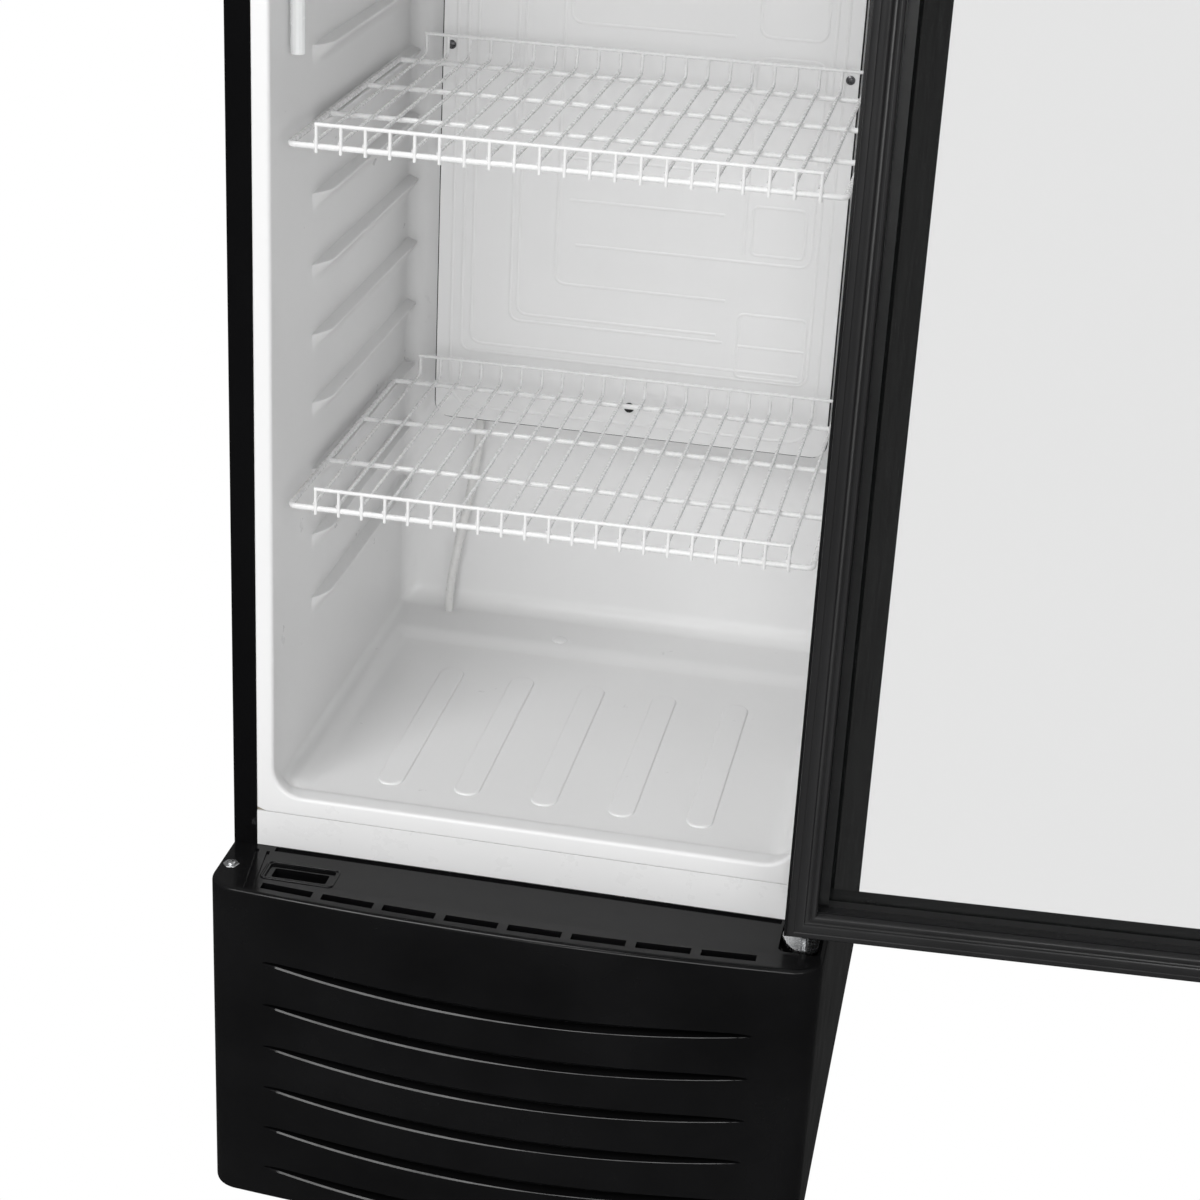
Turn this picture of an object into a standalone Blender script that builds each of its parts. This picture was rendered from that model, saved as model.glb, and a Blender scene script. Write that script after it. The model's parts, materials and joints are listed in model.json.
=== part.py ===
"""Upright glass door merchandiser: one-door refrigerated display cabinet, door swung open past its front plane.

Built in millimetres in the cabinet's own frame (x across, y from the front flange to the back, z up from the floor),
then placed in metres so that the origin is at the bottom centre of the whole object's bounding box.
"""

import math

import bmesh
import bpy
from mathutils import Matrix, Vector

for ob in list(bpy.data.objects):
    bpy.data.objects.remove(ob, do_unlink=True)

MM = 0.001
G = 0.3  # clearance between neighbouring pieces

# cabinet
HALF_W = 310.0
DEPTH = 560.0
Z_BASE = 42.0
Z_TOP = 1958.0
SHEET = 1.0
RETURN_W = 24.5  # black front return of each side panel
FLANGE_IN = 267.6  # inner edge of the white flange
Z_GRILLE = 405.6  # top of the front grille
Z_SILL = 446.0  # joint between sill strip and liner flange
Z_FLOOR = 463.0  # liner floor
Z_CEIL = 1745.0
Z_FOAM = 1788.0
LINER_T = 2.0
LINER_BACK = 512.0
LINER_TOP = 1775.0
CORNER_R = 30.0

# shelf ledges
LEDGE_Z0 = 630.2
LEDGE_PITCH = 71.9
LEDGE_N = 14
LEDGE_W = 13.0
LEDGE_FRONT = 131.0
LEDGE_BACK = 488.0

# shelves
SHELF_X = 260.8
SHELF_FRONT = 22.0
SHELF_BACK = 415.0
WIRE_PITCH = 23.3
WIRE_N = 21
WIRE_HALF = 1.8
LIP_X = 235.2
LIP_BACK = 432.0
SHELF_LEVELS = (("shelf_lower", 2), ("shelf_middle", 7), ("shelf_upper", 12))

# door, drawn closed and then turned about its pin
PIN_X = 288.0
PIN_Y = -40.0
OPEN_DEG = 183.5
DOOR_X = 308.0
DOOR_Z0 = 431.0
DOOR_Z1 = 1782.0
DOOR_IN = -10.0
DOOR_OUT = -62.0
FRAME_W = 40.5

# grille
GRILLE_X = 311.0
GRILLE_Z0 = 36.0
GRILLE_END_Y = -92.0
GRILLE_BOW = 13.0
GRILLE_R = 30.0
GRILLE_T = 3.0
LOUVRE_TIPS = (325.5, 275.2, 224.8, 174.4, 124.0, 73.6)
LOUVRE_X = 250.0
LOUVRE_SAG = 19.8
LOUVRE_H = 12.5

# duct cover
DUCT_X = 224.5
DUCT_Z0 = 720.5
DUCT_Z1 = 1712.0
DUCT_Y = 470.0
FAN_Z = 1640.0

DRAIN_X = -206.0
DRAIN_Y = 486.0

COLOURS = {
    "black_steel": ((0.012, 0.012, 0.013, 1), 0.3, 0.35),
    "black_plastic": ((0.014, 0.014, 0.015, 1), 0.0, 0.22),
    "white_plastic": ((0.78, 0.79, 0.79, 1), 0.0, 0.35),
    "white_steel": ((0.8, 0.8, 0.8, 1), 0.1, 0.35),
    "white_wire": ((0.85, 0.85, 0.85, 1), 0.0, 0.3),
    "foam": ((0.72, 0.66, 0.45, 1), 0.0, 0.95),
    "steel": ((0.62, 0.63, 0.64, 1), 1.0, 0.3),
    "aluminium": ((0.75, 0.76, 0.77, 1), 1.0, 0.4),
    "copper": ((0.72, 0.38, 0.22, 1), 1.0, 0.3),
    "rubber": ((0.02, 0.02, 0.02, 1), 0.0, 0.8),
    "grey_rubber": ((0.5, 0.5, 0.48, 1), 0.0, 0.7),
    "glass": ((0.82, 0.88, 0.86, 0.3), 0.0, 0.04),
    "sign": ((0.86, 0.87, 0.88, 1), 0.0, 0.3),
    "lamp": ((0.92, 0.93, 0.95, 1), 0.0, 0.25),
    "tube": ((0.75, 0.76, 0.74, 1), 0.0, 0.4),
}


# ---------------------------------------------------------------- meshes


def solid(verts, faces):
    bm = bmesh.new()
    vs = [bm.verts.new(v) for v in verts]
    for f in faces:
        bm.faces.new([vs[i] for i in f])
    bmesh.ops.recalc_face_normals(bm, faces=bm.faces)
    return bm


def box(x0, x1, y0, y1, z0, z1):
    v = [(x, y, z) for x in (x0, x1) for y in (y0, y1) for z in (z0, z1)]
    return solid(
        v,
        [
            (0, 1, 3, 2),
            (4, 6, 7, 5),
            (0, 4, 5, 1),
            (2, 3, 7, 6),
            (0, 2, 6, 4),
            (1, 5, 7, 3),
        ],
    )


def place(axis, u, v, w):
    return {"x": (w, u, v), "y": (u, w, v), "z": (u, v, w)}[axis]


def prism(poly, axis, a, b):
    n = len(poly)
    v = [place(axis, p[0], p[1], a) for p in poly]
    v += [place(axis, p[0], p[1], b) for p in poly]
    f = [tuple(range(n)), tuple(range(2 * n - 1, n - 1, -1))]
    f += [(i, (i + 1) % n, (i + 1) % n + n, i + n) for i in range(n)]
    return solid(v, f)


def loft(rings):
    """Closed skin through rings of equal length, capped at both ends."""
    n = len(rings[0])
    v = [p for r in rings for p in r]
    f = [tuple(range(n)), tuple(range(len(v) - 1, len(v) - n - 1, -1))]
    for k in range(len(rings) - 1):
        for i in range(n):
            j = (i + 1) % n
            f.append((k * n + i, k * n + j, (k + 1) * n + j, (k + 1) * n + i))
    return solid(v, f)


def circle(cu, cv, r, n, start=0.0):
    return [
        (
            cu + r * math.cos(start + 2 * math.pi * i / n),
            cv + r * math.sin(start + 2 * math.pi * i / n),
        )
        for i in range(n)
    ]


def cyl(axis, cu, cv, r, a, b, n=20):
    return prism(circle(cu, cv, r, n, math.pi / n), axis, a, b)


def lathe(axis, cu, cv, profile, n=20):
    """Turned body: profile is (radius, station) from one end to the other, both ends closed flat."""
    return loft(
        [
            [place(axis, u, v, w) for u, v in circle(cu, cv, r, n, math.pi / n)]
            for r, w in profile
        ]
    )


def ring(axis, cu, cv, r_in, r_out, a, b, n=20):
    """Flat-ended sleeve."""
    v, f = [], []
    for r, w in ((r_in, a), (r_out, a), (r_out, b), (r_in, b)):
        v += [place(axis, u, q, w) for u, q in circle(cu, cv, r, n, math.pi / n)]
    for k in range(4):
        for i in range(n):
            j, m = (i + 1) % n, (k + 1) % 4
            f.append((k * n + i, k * n + j, m * n + j, m * n + i))
    return solid(v, f)


def frame_ring(section, x0, x1, z0, z1):
    """A section of (inset from the outer edge, y) carried round a rectangle, with mitred corners."""
    v, f = [], []
    n = len(section)
    for cx, cz, sx, sz in (
        (x0, z0, 1, 1),
        (x1, z0, -1, 1),
        (x1, z1, -1, -1),
        (x0, z1, 1, -1),
    ):
        v += [(cx + sx * a, y, cz + sz * a) for a, y in section]
    for k in range(4):
        for i in range(n):
            j, m = (i + 1) % n, (k + 1) % 4
            f.append((k * n + i, k * n + j, m * n + j, m * n + i))
    return solid(v, f)


def mitred(section, side, x0, x1, z0, z1, gap):
    """One side of a mitred frame; gap is taken off at each mitre."""
    ring_a, ring_b = [], []
    for a, y in section:
        if side == "left":
            ring_a.append((x0 + a, y, z0 + a + gap))
            ring_b.append((x0 + a, y, z1 - a - gap))
        elif side == "right":
            ring_a.append((x1 - a, y, z0 + a + gap))
            ring_b.append((x1 - a, y, z1 - a - gap))
        elif side == "bottom":
            ring_a.append((x0 + a + gap, y, z0 + a))
            ring_b.append((x1 - a - gap, y, z0 + a))
        else:
            ring_a.append((x0 + a + gap, y, z1 - a))
            ring_b.append((x1 - a - gap, y, z1 - a))
    return loft([ring_a, ring_b])


def tube(path, r, n=10):
    """Round rod along a path of points."""
    pts = [Vector(p) for p in path]
    rings = []
    up = None
    for i, p in enumerate(pts):
        a = pts[max(i - 1, 0)]
        b = pts[min(i + 1, len(pts) - 1)]
        t = (b - a).normalized()
        if up is None:
            up = Vector((0, 0, 1)) if abs(t.z) < 0.9 else Vector((0, 1, 0))
        u = (up - t * up.dot(t)).normalized()
        up = u
        w = t.cross(u)
        rings.append(
            [
                tuple(
                    p
                    + u * r * math.cos(2 * math.pi * k / n)
                    + w * r * math.sin(2 * math.pi * k / n)
                )
                for k in range(n)
            ]
        )
    return loft(rings)


def joined(*parts):
    """Several closed bodies as one mesh, for a Boolean's second operand."""
    out = bmesh.new()
    for bm in parts:
        me = bpy.data.meshes.new("tmp")
        bm.to_mesh(me)
        out.from_mesh(me)
        bpy.data.meshes.remove(me)
        bm.free()
    return out


def combine(bm, other, how):
    """Exact Boolean of two meshes: UNION or DIFFERENCE."""
    obs = []
    for k, b in enumerate((bm, other)):
        me = bpy.data.meshes.new(f"tmp{k}")
        b.to_mesh(me)
        b.free()
        ob = bpy.data.objects.new(f"tmp{k}", me)
        bpy.context.scene.collection.objects.link(ob)
        obs.append(ob)
    mod = obs[0].modifiers.new("b", "BOOLEAN")
    mod.operation = how
    mod.solver = "EXACT"
    mod.object = obs[1]
    dg = bpy.context.evaluated_depsgraph_get()
    dg.update()
    me = bpy.data.meshes.new_from_object(obs[0].evaluated_get(dg))
    out = bmesh.new()
    out.from_mesh(me)
    for ob in obs:
        old = ob.data
        bpy.data.objects.remove(ob, do_unlink=True)
        bpy.data.meshes.remove(old)
    bpy.data.meshes.remove(me)
    bmesh.ops.remove_doubles(out, verts=out.verts, dist=0.002)
    bmesh.ops.dissolve_degenerate(out, dist=0.002, edges=out.edges)
    return out


def cut(bm, *tools):
    for t in tools:
        bm = combine(bm, t, "DIFFERENCE")
    return bm


def union(bm, *tools):
    for t in tools:
        bm = combine(bm, t, "UNION")
    return bm


def turned(bm, degrees, axis, about):
    """Turn a mesh about a point."""
    c = Vector(about)
    m = (
        Matrix.Translation(c)
        @ Matrix.Rotation(math.radians(degrees), 4, axis)
        @ Matrix.Translation(-c)
    )
    bmesh.ops.transform(bm, matrix=m, verts=bm.verts)
    return bm


def fan_blade(cx, cy, cz, radius, hub, thick, chord, count, pitch):
    """Axial fan turning about y."""
    out = cyl("y", cx, cz, hub, cy - thick / 2, cy + thick / 2, 16)
    for k in range(count):
        b = box(
            cx + hub - 3.0,
            cx + radius,
            cy - 0.9,
            cy + 0.9,
            cz - chord / 2,
            cz + chord / 2,
        )
        turned(b, pitch, "X", (cx, cy, cz))
        turned(b, 360.0 * k / count, "Y", (cx, cy, cz))
        out = combine(out, b, "UNION")
    return out


def comb(x0, x1, y0, y1, z0, z1, teeth, spine):
    """Finned block: plates standing on a common spine at the y1 side."""
    pitch = (x1 - x0) / (2 * teeth - 1)
    pts = [(x0, y1)]
    for k in range(teeth):
        a = x0 + 2 * k * pitch
        if k:
            pts.append((a, y1 - spine))
        pts.append((a, y0))
        pts.append((a + pitch, y0))
        if k < teeth - 1:
            pts.append((a + pitch, y1 - spine))
    pts.append((x1, y1))
    return prism(pts, "z", z0, z1)


# ---------------------------------------------------------------- objects

MATERIALS = {}


def material(slot, look):
    if slot not in MATERIALS:
        colour, metallic, roughness = COLOURS[look]
        m = bpy.data.materials.new(slot)
        m.use_nodes = True
        b = m.node_tree.nodes["Principled BSDF"]
        b.inputs["Base Color"].default_value = colour[:3] + (1.0,)
        b.inputs["Metallic"].default_value = metallic
        b.inputs["Roughness"].default_value = roughness
        b.inputs["Alpha"].default_value = colour[3]
        m.diffuse_color = colour
        MATERIALS[slot] = m
    return MATERIALS[slot]


PIECES = []
DOOR_PIECES = []


def piece(name, bm, look, origin=None, on_door=False):
    """Store a mesh as a named object whose origin is at the given point."""
    if on_door:
        turned(bm, OPEN_DEG, "Z", (PIN_X, PIN_Y, 0))
    bmesh.ops.recalc_face_normals(bm, faces=bm.faces)
    o = Vector(origin) if origin is not None else Vector((0, 0, 0))
    if on_door and origin is not None:
        c = Vector((PIN_X, PIN_Y, 0))
        o = c + Matrix.Rotation(math.radians(OPEN_DEG), 3, "Z") @ (o - c)
    for v in bm.verts:
        v.co = (v.co - o) * MM
    me = bpy.data.meshes.new(name)
    bm.to_mesh(me)
    bm.free()
    ob = bpy.data.objects.new(name, me)
    ob.location = o * MM
    bpy.context.scene.collection.objects.link(ob)
    me.materials.append(material(name, look))
    PIECES.append(ob)
    if on_door:
        DOOR_PIECES.append(ob)
    return ob


# ---- outer cabinet


def side_panel(s):
    x = [HALF_W, HALF_W - SHEET, HALF_W - RETURN_W, HALF_W - 15.0]
    poly = [
        (s * x[0], 0.0),
        (s * x[2], 0.0),
        (s * x[2], SHEET),
        (s * x[1], SHEET),
        (s * x[1], DEPTH - SHEET),
        (s * x[3], DEPTH - SHEET),
        (s * x[3], DEPTH),
        (s * x[0], DEPTH),
    ]
    return prism(poly, "z", Z_BASE, Z_TOP)


piece("side_panel_left", side_panel(-1), "black_steel")
piece("side_panel_right", side_panel(1), "black_steel")
piece(
    "top_panel",
    box(-HALF_W, HALF_W, 0, DEPTH, Z_TOP + G, Z_TOP + G + 1.2),
    "black_steel",
)
IN_X = HALF_W - SHEET - G
piece(
    "back_panel",
    box(-IN_X, IN_X, DEPTH - SHEET - G - 1.0, DEPTH - SHEET - G, 402.0, Z_TOP - G),
    "black_steel",
)

# ---- insulation and liner

foam = box(
    -IN_X, IN_X, LINER_T + G, DEPTH - SHEET - 2 * G - 1.0, Z_GRILLE + 1.0, Z_FOAM
)
foam = cut(
    foam,
    box(
        -(FLANGE_IN + LINER_T + G),
        FLANGE_IN + LINER_T + G,
        -10,
        LINER_BACK + LINER_T + G,
        Z_FLOOR - LINER_T - G,
        Z_CEIL + LINER_T + G,
    ),
    cyl("z", DRAIN_X, DRAIN_Y, 11.6, Z_GRILLE - 10, Z_FLOOR + 5, 16),
)
piece("foam_insulation", foam, "foam")


def opening(grow, n=4):
    """Rounded outline of the cavity in x, z, moved outwards by grow."""
    x, z0, z1, r = (
        FLANGE_IN + grow,
        Z_FLOOR - grow,
        Z_CEIL + grow,
        CORNER_R + grow,
    )
    pts = []
    for cx, cz, a0 in (
        (x - r, z0 + r, -90),
        (x - r, z1 - r, 0),
        (-x + r, z1 - r, 90),
        (-x + r, z0 + r, 180),
    ):
        for k in range(n + 1):
            a = math.radians(a0 + 90 * k / n)
            pts.append((cx + r * math.cos(a), cz + r * math.sin(a)))
    return pts


def ledge(s, z):
    """Moulded shelf ledge on a side wall: flat top, sloping back under, tapering to a point at its front."""
    w = FLANGE_IN + 1.0
    full = FLANGE_IN - LEDGE_W

    def section(y, reach, drop):
        return [
            (s * w, y, z),
            (s * (w - 1.0 - reach), y, z),
            (s * (w - 1.0 - reach), y, z - 2.0),
            (s * w, y, z - drop),
        ]

    reach = FLANGE_IN - full
    return loft(
        [
            section(LEDGE_FRONT, 0.3, 4.0),
            section(LEDGE_FRONT + 14, reach * 0.55, 12.0),
            section(LEDGE_FRONT + 36, reach, 20.0),
            section(LEDGE_BACK, reach, 20.0),
        ]
    )


FLANGE_OUT = HALF_W - RETURN_W - G
liner = union(
    prism(opening(LINER_T), "y", 0.5, LINER_BACK + LINER_T),
    box(-FLANGE_OUT, FLANGE_OUT, 0, LINER_T, Z_SILL, LINER_TOP),
)
liner = cut(liner, prism(opening(0.0), "y", -5, LINER_BACK))
ledges = joined(
    *[
        ledge(s, LEDGE_Z0 + LEDGE_PITCH * k)
        for s in (-1, 1)
        for k in range(LEDGE_N)
    ]
)
liner = union(liner, ledges)


def floor_rib(x):
    pts = []
    for cy, a0 in ((72.0, 180), (330.0, 0)):
        for k in range(5):
            a = math.radians(a0 + 180 * k / 4)
            pts.append((x + 14.0 * math.cos(a), cy + 14.0 * math.sin(a)))
    return prism(pts, "z", Z_FLOOR - 1.0, Z_FLOOR + 2.0)


liner = union(liner, joined(*[floor_rib(x) for x in (-163, -81.5, 0, 81.5, 163)]))
liner = cut(liner, cyl("z", DRAIN_X, DRAIN_Y, 11.0, Z_FLOOR - 20, Z_FLOOR + 20, 16))
piece("inner_liner", liner, "white_plastic")
piece(
    "sill_strip",
    box(-FLANGE_OUT, FLANGE_OUT, 0, LINER_T, Z_GRILLE + G, Z_SILL - G),
    "white_steel",
)

# ---- canopy

CANOPY_Z0, CANOPY_Z1 = 1791.0, Z_TOP
canopy = cut(
    box(-HALF_W, HALF_W, -64.0, -G, CANOPY_Z0, CANOPY_Z1),
    box(-HALF_W + 3, HALF_W - 3, -70.0, -3.3, CANOPY_Z0 + 3, CANOPY_Z1 - 3),
)
piece("canopy_housing", canopy, "black_plastic")
piece(
    "sign_panel",
    box(
        -HALF_W + 3 + G,
        HALF_W - 3 - G,
        -61.0,
        -58.0,
        CANOPY_Z0 + 3 + G,
        CANOPY_Z1 - 3 - G,
    ),
    "sign",
)
piece(
    "canopy_lamp",
    cyl("x", -22.0, CANOPY_Z0 + 84.0, 12.0, -270.0, 270.0, 12),
    "lamp",
)

# ---- front grille


def grille_outline(inset, steps=10):
    """Plan outline of the bowed front, as x, y, starting and ending at the cabinet's front plane."""
    hx = GRILLE_X - inset
    end = GRILLE_END_Y + inset
    r = GRILLE_R - inset
    cx = GRILLE_X - GRILLE_R
    cy = GRILLE_END_Y + GRILLE_R
    pts = [(hx, -G + inset * 2), (hx, cy)]
    for k in range(1, 5):
        a = math.radians(-90 * k / 5)
        pts.append((cx + r * math.cos(a), cy + r * math.sin(a)))
    for k in range(steps + 1):
        x = cx * (1 - 2 * k / steps)
        pts.append((x, end - GRILLE_BOW * (1 - (x / cx) ** 2)))
    for k in range(1, 5):
        a = math.radians(-90 - 90 * k / 5)
        pts.append((-cx + r * math.cos(a), cy + r * math.sin(a)))
    pts += [(-hx, cy), (-hx, -G + inset * 2)]
    return pts


def louvre(tip, n=8):
    """Crescent opening in x, z whose lower lip sags in the middle."""
    low, high = [], []
    for k in range(n + 1):
        x = -LOUVRE_X + 2 * LOUVRE_X * k / n
        q = 1 - (x / LOUVRE_X) ** 2
        low.append((x, tip - LOUVRE_SAG * q))
        if 0 < k < n:
            high.append((x, tip - LOUVRE_SAG * q + LOUVRE_H * math.sqrt(q)))
    return prism(low + high[::-1], "y", -130, -60)


grille = prism(grille_outline(0.0), "z", GRILLE_Z0, Z_GRILLE)
grille = cut(grille, prism(grille_outline(GRILLE_T), "z", GRILLE_Z0 - 5, Z_GRILLE - GRILLE_T))
grille = cut(grille, joined(*[louvre(t) for t in LOUVRE_TIPS]))
slots = []
for k in range(8):
    x = -256.0 + 64.1 * k
    slots.append(box(x, x + 55.0, -93.0, -81.0, Z_GRILLE - 8, Z_GRILLE + 5))
grille = cut(grille, joined(*slots))
# lock catch opening, hinge pocket openings at both ends
grille = cut(
    grille,
    joined(
        box(-262, -188, -63, -31, Z_GRILLE - 8, Z_GRILLE + 5),
        box(264, 305, -60, 5, Z_GRILLE - 8, Z_GRILLE + 5),
        box(-305, -292, -60, -30, Z_GRILLE - 8, Z_GRILLE + 5),
    ),
)
piece("front_grille", grille, "black_plastic")

# ---- door hinges on the cabinet


def leaf(z0, z1, zp0, zp1):
    """Hinge leaf with its pin: flat plate below or above the door and an upright tab on the cabinet's front."""
    plate = prism(
        [(266, -G), (303, -G), (303, -44), (296, -54), (280, -54), (272, -44), (266, -30)],
        "z",
        z0,
        z1,
    )
    return combine(plate, cyl("z", PIN_X, PIN_Y, 4.0, zp0, zp1, 16), "UNION")


piece(
    "hinge_leaf_bottom", leaf(402.0, 406.0, 404.0, DOOR_Z0 + 14.0), "steel"
)
piece(
    "hinge_leaf_top",
    leaf(CANOPY_Z0 - 4.5, CANOPY_Z0 - G, DOOR_Z1 - 14.0, CANOPY_Z0 - 2.0),
    "steel",
)
piece(
    "hinge_hole_plug",
    lathe(
        "z",
        -298.5,
        -45.0,
        [(4.5, 396.0), (4.5, 402.0), (5.6, 402.4), (5.6, 405.0), (3.0, 408.5)],
        12,
    ),
    "steel",
)

# ---- door, drawn closed

PROFILE = [
    (0, DOOR_IN),
    (31, DOOR_IN),
    (31, -21.7),
    (24, -21.7),
    (24, -43.3),
    (FRAME_W, -43.3),
    (FRAME_W, DOOR_OUT + 6),
    (FRAME_W - 4, DOOR_OUT),
    (3, DOOR_OUT),
    (0, DOOR_OUT + 3),
]
DOOR_BOX = (-DOOR_X, DOOR_X, DOOR_Z0, DOOR_Z1)
stile_hinge = mitred(PROFILE, "right", *DOOR_BOX, G / 2)
stile_hinge = cut(
    stile_hinge,
    joined(
        cyl("z", PIN_X, PIN_Y, 6.4, DOOR_Z0 - 5, DOOR_Z0 + 20, 16),
        cyl("z", PIN_X, PIN_Y, 6.4, DOOR_Z1 - 20, DOOR_Z1 + 5, 16),
    ),
)
door_origin = (PIN_X, PIN_Y, DOOR_Z0)
piece("door_stile_hinge", stile_hinge, "black_plastic", door_origin, True)
piece(
    "door_stile_free",
    mitred(PROFILE, "left", *DOOR_BOX, G / 2),
    "black_plastic",
    door_origin,
    True,
)
piece(
    "door_rail_top",
    cut(
        mitred(PROFILE, "top", *DOOR_BOX, G / 2),
        cyl("z", PIN_X, PIN_Y, 6.4, DOOR_Z1 - 20, DOOR_Z1 + 5, 16),
    ),
    "black_plastic",
    door_origin,
    True,
)
LOCK_X, LOCK_Z = -214.0, 451.0
RAIL_TOP = DOOR_Z0 + 28.0  # the bottom rail is narrower than the stiles, except where it houses the lock
rail = mitred(PROFILE, "bottom", *DOOR_BOX, G / 2)
rail = cut(
    rail,
    joined(
        cyl("z", PIN_X, PIN_Y, 6.4, DOOR_Z0 - 5, DOOR_Z0 + 20, 16),
        box(LOCK_X - 62, LOCK_X + 14, -54.0, -48.0, DOOR_Z0 - 5, LOCK_Z + 13),
    ),
    box(LOCK_X + 18, DOOR_X - FRAME_W, -70.0, -42.0, RAIL_TOP, DOOR_Z0 + 60),
    cyl("y", LOCK_X, LOCK_Z, 9.0, DOOR_OUT - 5, -51.0, 20),
)
piece("door_rail_bottom", rail, "black_plastic", door_origin, True)
GASKET = [
    (3.0, DOOR_IN + G),
    (3.0, -4.8),
    (8.0, -2.6),
    (18.5, -2.2),
    (19.5, -5.5),
    (23.5, -5.5),
    (24.5, -1.2),
    (28.0, -1.2),
    (30.0, -3.4),
    (30.0, DOOR_IN + G),
]
piece(
    "door_gasket", frame_ring(GASKET, *DOOR_BOX), "rubber", door_origin, True
)
PX, PZ0, PZ1 = DOOR_X - 24 - G, DOOR_Z0 + 24 + G, DOOR_Z1 - 24 - G
piece(
    "door_glass_inner",
    box(-PX, PX, -26.0, -22.0, PZ0, PZ1),
    "glass",
    door_origin,
    True,
)
piece(
    "door_glass_outer",
    box(-PX, PX, -43.0, -39.0, PZ0, PZ1),
    "glass",
    door_origin,
    True,
)
piece(
    "glass_edge_seal",
    cut(
        frame_ring(
            [(24 + G, -26.3), (FRAME_W, -26.3), (FRAME_W, -38.7), (24 + G, -38.7)],
            *DOOR_BOX,
        ),
        box(LOCK_X + 18, DOOR_X - FRAME_W, -45.0, -20.0, RAIL_TOP, DOOR_Z0 + 60),
    ),
    "rubber",
    door_origin,
    True,
)
HX = -DOOR_X + 19.0
handle = prism(
    [
        (DOOR_OUT - G, 1010),
        (DOOR_OUT - 26, 1010),
        (DOOR_OUT - 34, 1018),
        (DOOR_OUT - 34, 1282),
        (DOOR_OUT - 26, 1290),
        (DOOR_OUT - G, 1290),
        (DOOR_OUT - G, 1262),
        (DOOR_OUT - 20, 1256),
        (DOOR_OUT - 20, 1044),
        (DOOR_OUT - G, 1038),
    ],
    "x",
    HX - 11,
    HX + 11,
)
piece("door_handle", handle, "black_plastic", door_origin, True)
for name, z0, z1 in (
    ("door_bush_bottom", DOOR_Z0, DOOR_Z0 + 19.0),
    ("door_bush_top", DOOR_Z1 - 19.0, DOOR_Z1),
):
    piece(
        name,
        ring("z", PIN_X, PIN_Y, 4.35, 6.05, z0, z1, 16),
        "white_plastic",
        door_origin,
        True,
    )
lock = union(
    lathe(
        "y",
        LOCK_X,
        LOCK_Z,
        [(10.5, DOOR_OUT - 5.0), (11.5, DOOR_OUT - 4.0), (11.5, DOOR_OUT - G), (8.6, DOOR_OUT - G), (8.6, -52.0)],
        20,
    ),
    prism(
        [
            (LOCK_X - 52, LOCK_Z - 6),
            (LOCK_X + 4, LOCK_Z - 8),
            (LOCK_X + 8, LOCK_Z - 4),
            (LOCK_X + 8, LOCK_Z + 4),
            (LOCK_X + 4, LOCK_Z + 8),
            (LOCK_X - 52, LOCK_Z + 6),
        ],
        "y",
        -53.0,
        -49.5,
    ),
)
lock = cut(lock, box(LOCK_X - 5, LOCK_X + 5, DOOR_OUT - 8, DOOR_OUT - 1.0, LOCK_Z - 1, LOCK_Z + 1))
piece("door_lock", lock, "steel", (LOCK_X, -52.0, LOCK_Z), True)


# ---- shelves


def shelf(level):
    """Wire shelf: flat grid with an upturned ladder lip at the front and back."""
    z0 = LEDGE_Z0 + LEDGE_PITCH * level + G
    z1 = z0 + 8.8
    body = union(
        box(-SHELF_X, SHELF_X, SHELF_FRONT, SHELF_BACK, z0, z1),
        prism(
            [
                (SHELF_FRONT + 1, z0 - 3),
                (SHELF_FRONT + 5, z0 - 3),
                (SHELF_FRONT + 5, z0 + 1),
                (SHELF_FRONT + 20, z0 + 4.9),
                (LIP_BACK, z0 + 4.9),
                (LIP_BACK, z0 + 30.7),
                (LIP_BACK - 4, z0 + 30.7),
                (LIP_BACK - 4, z0 + 8.5),
                (SHELF_FRONT + 5, z0 + 8.5),
                (SHELF_FRONT + 5, z0 + 25.5),
                (SHELF_FRONT + 1, z0 + 25.5),
            ],
            "x",
            -LIP_X,
            LIP_X,
        ),
    )
    xs = [(k - (WIRE_N - 1) / 2) * WIRE_PITCH for k in range(WIRE_N)]
    edges = [-SHELF_X + 6.0] + [x for w in xs for x in (w - WIRE_HALF, w + WIRE_HALF)]
    edges.append(SHELF_X - 6.0)
    rows = [(SHELF_FRONT + 6, 151), (157, 280), (286, 409)]
    holes, ladders = [], []
    for k in range(0, len(edges), 2):
        a, b = edges[k], edges[k + 1]
        for y0, y1 in rows:
            holes.append(box(a, b, y0, y1, z0 - 10, z1 + 10))
        if 0 < k < len(edges) - 2:
            holes.append(box(a, b, SHELF_BACK + 1.0, LIP_BACK - 4.0, z0 - 10, z1 + 10))
            ladders.append(box(a, b, SHELF_FRONT - 5, SHELF_FRONT + 5.9, z0 + 10.5, z0 + 22.0))
            ladders.append(box(a, b, LIP_BACK - 5, LIP_BACK + 5, z0 + 10.5, z0 + 27.0))
    body = cut(body, joined(*holes))
    return cut(body, joined(*ladders))


for name, level in SHELF_LEVELS:
    z = LEDGE_Z0 + LEDGE_PITCH * level
    piece(name, shelf(level), "white_wire", (0, SHELF_FRONT, z))

# ---- duct cover, evaporator, fan


def rounded_rect(x0, x1, z0, z1, r, n=3):
    pts = []
    for cx, cz, a0 in (
        (x1 - r, z0 + r, -90),
        (x1 - r, z1 - r, 0),
        (x0 + r, z1 - r, 90),
        (x0 + r, z0 + r, 180),
    ):
        for k in range(n + 1):
            a = math.radians(a0 + 90 * k / n)
            pts.append((cx + r * math.cos(a), cz + r * math.sin(a)))
    return pts


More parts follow.
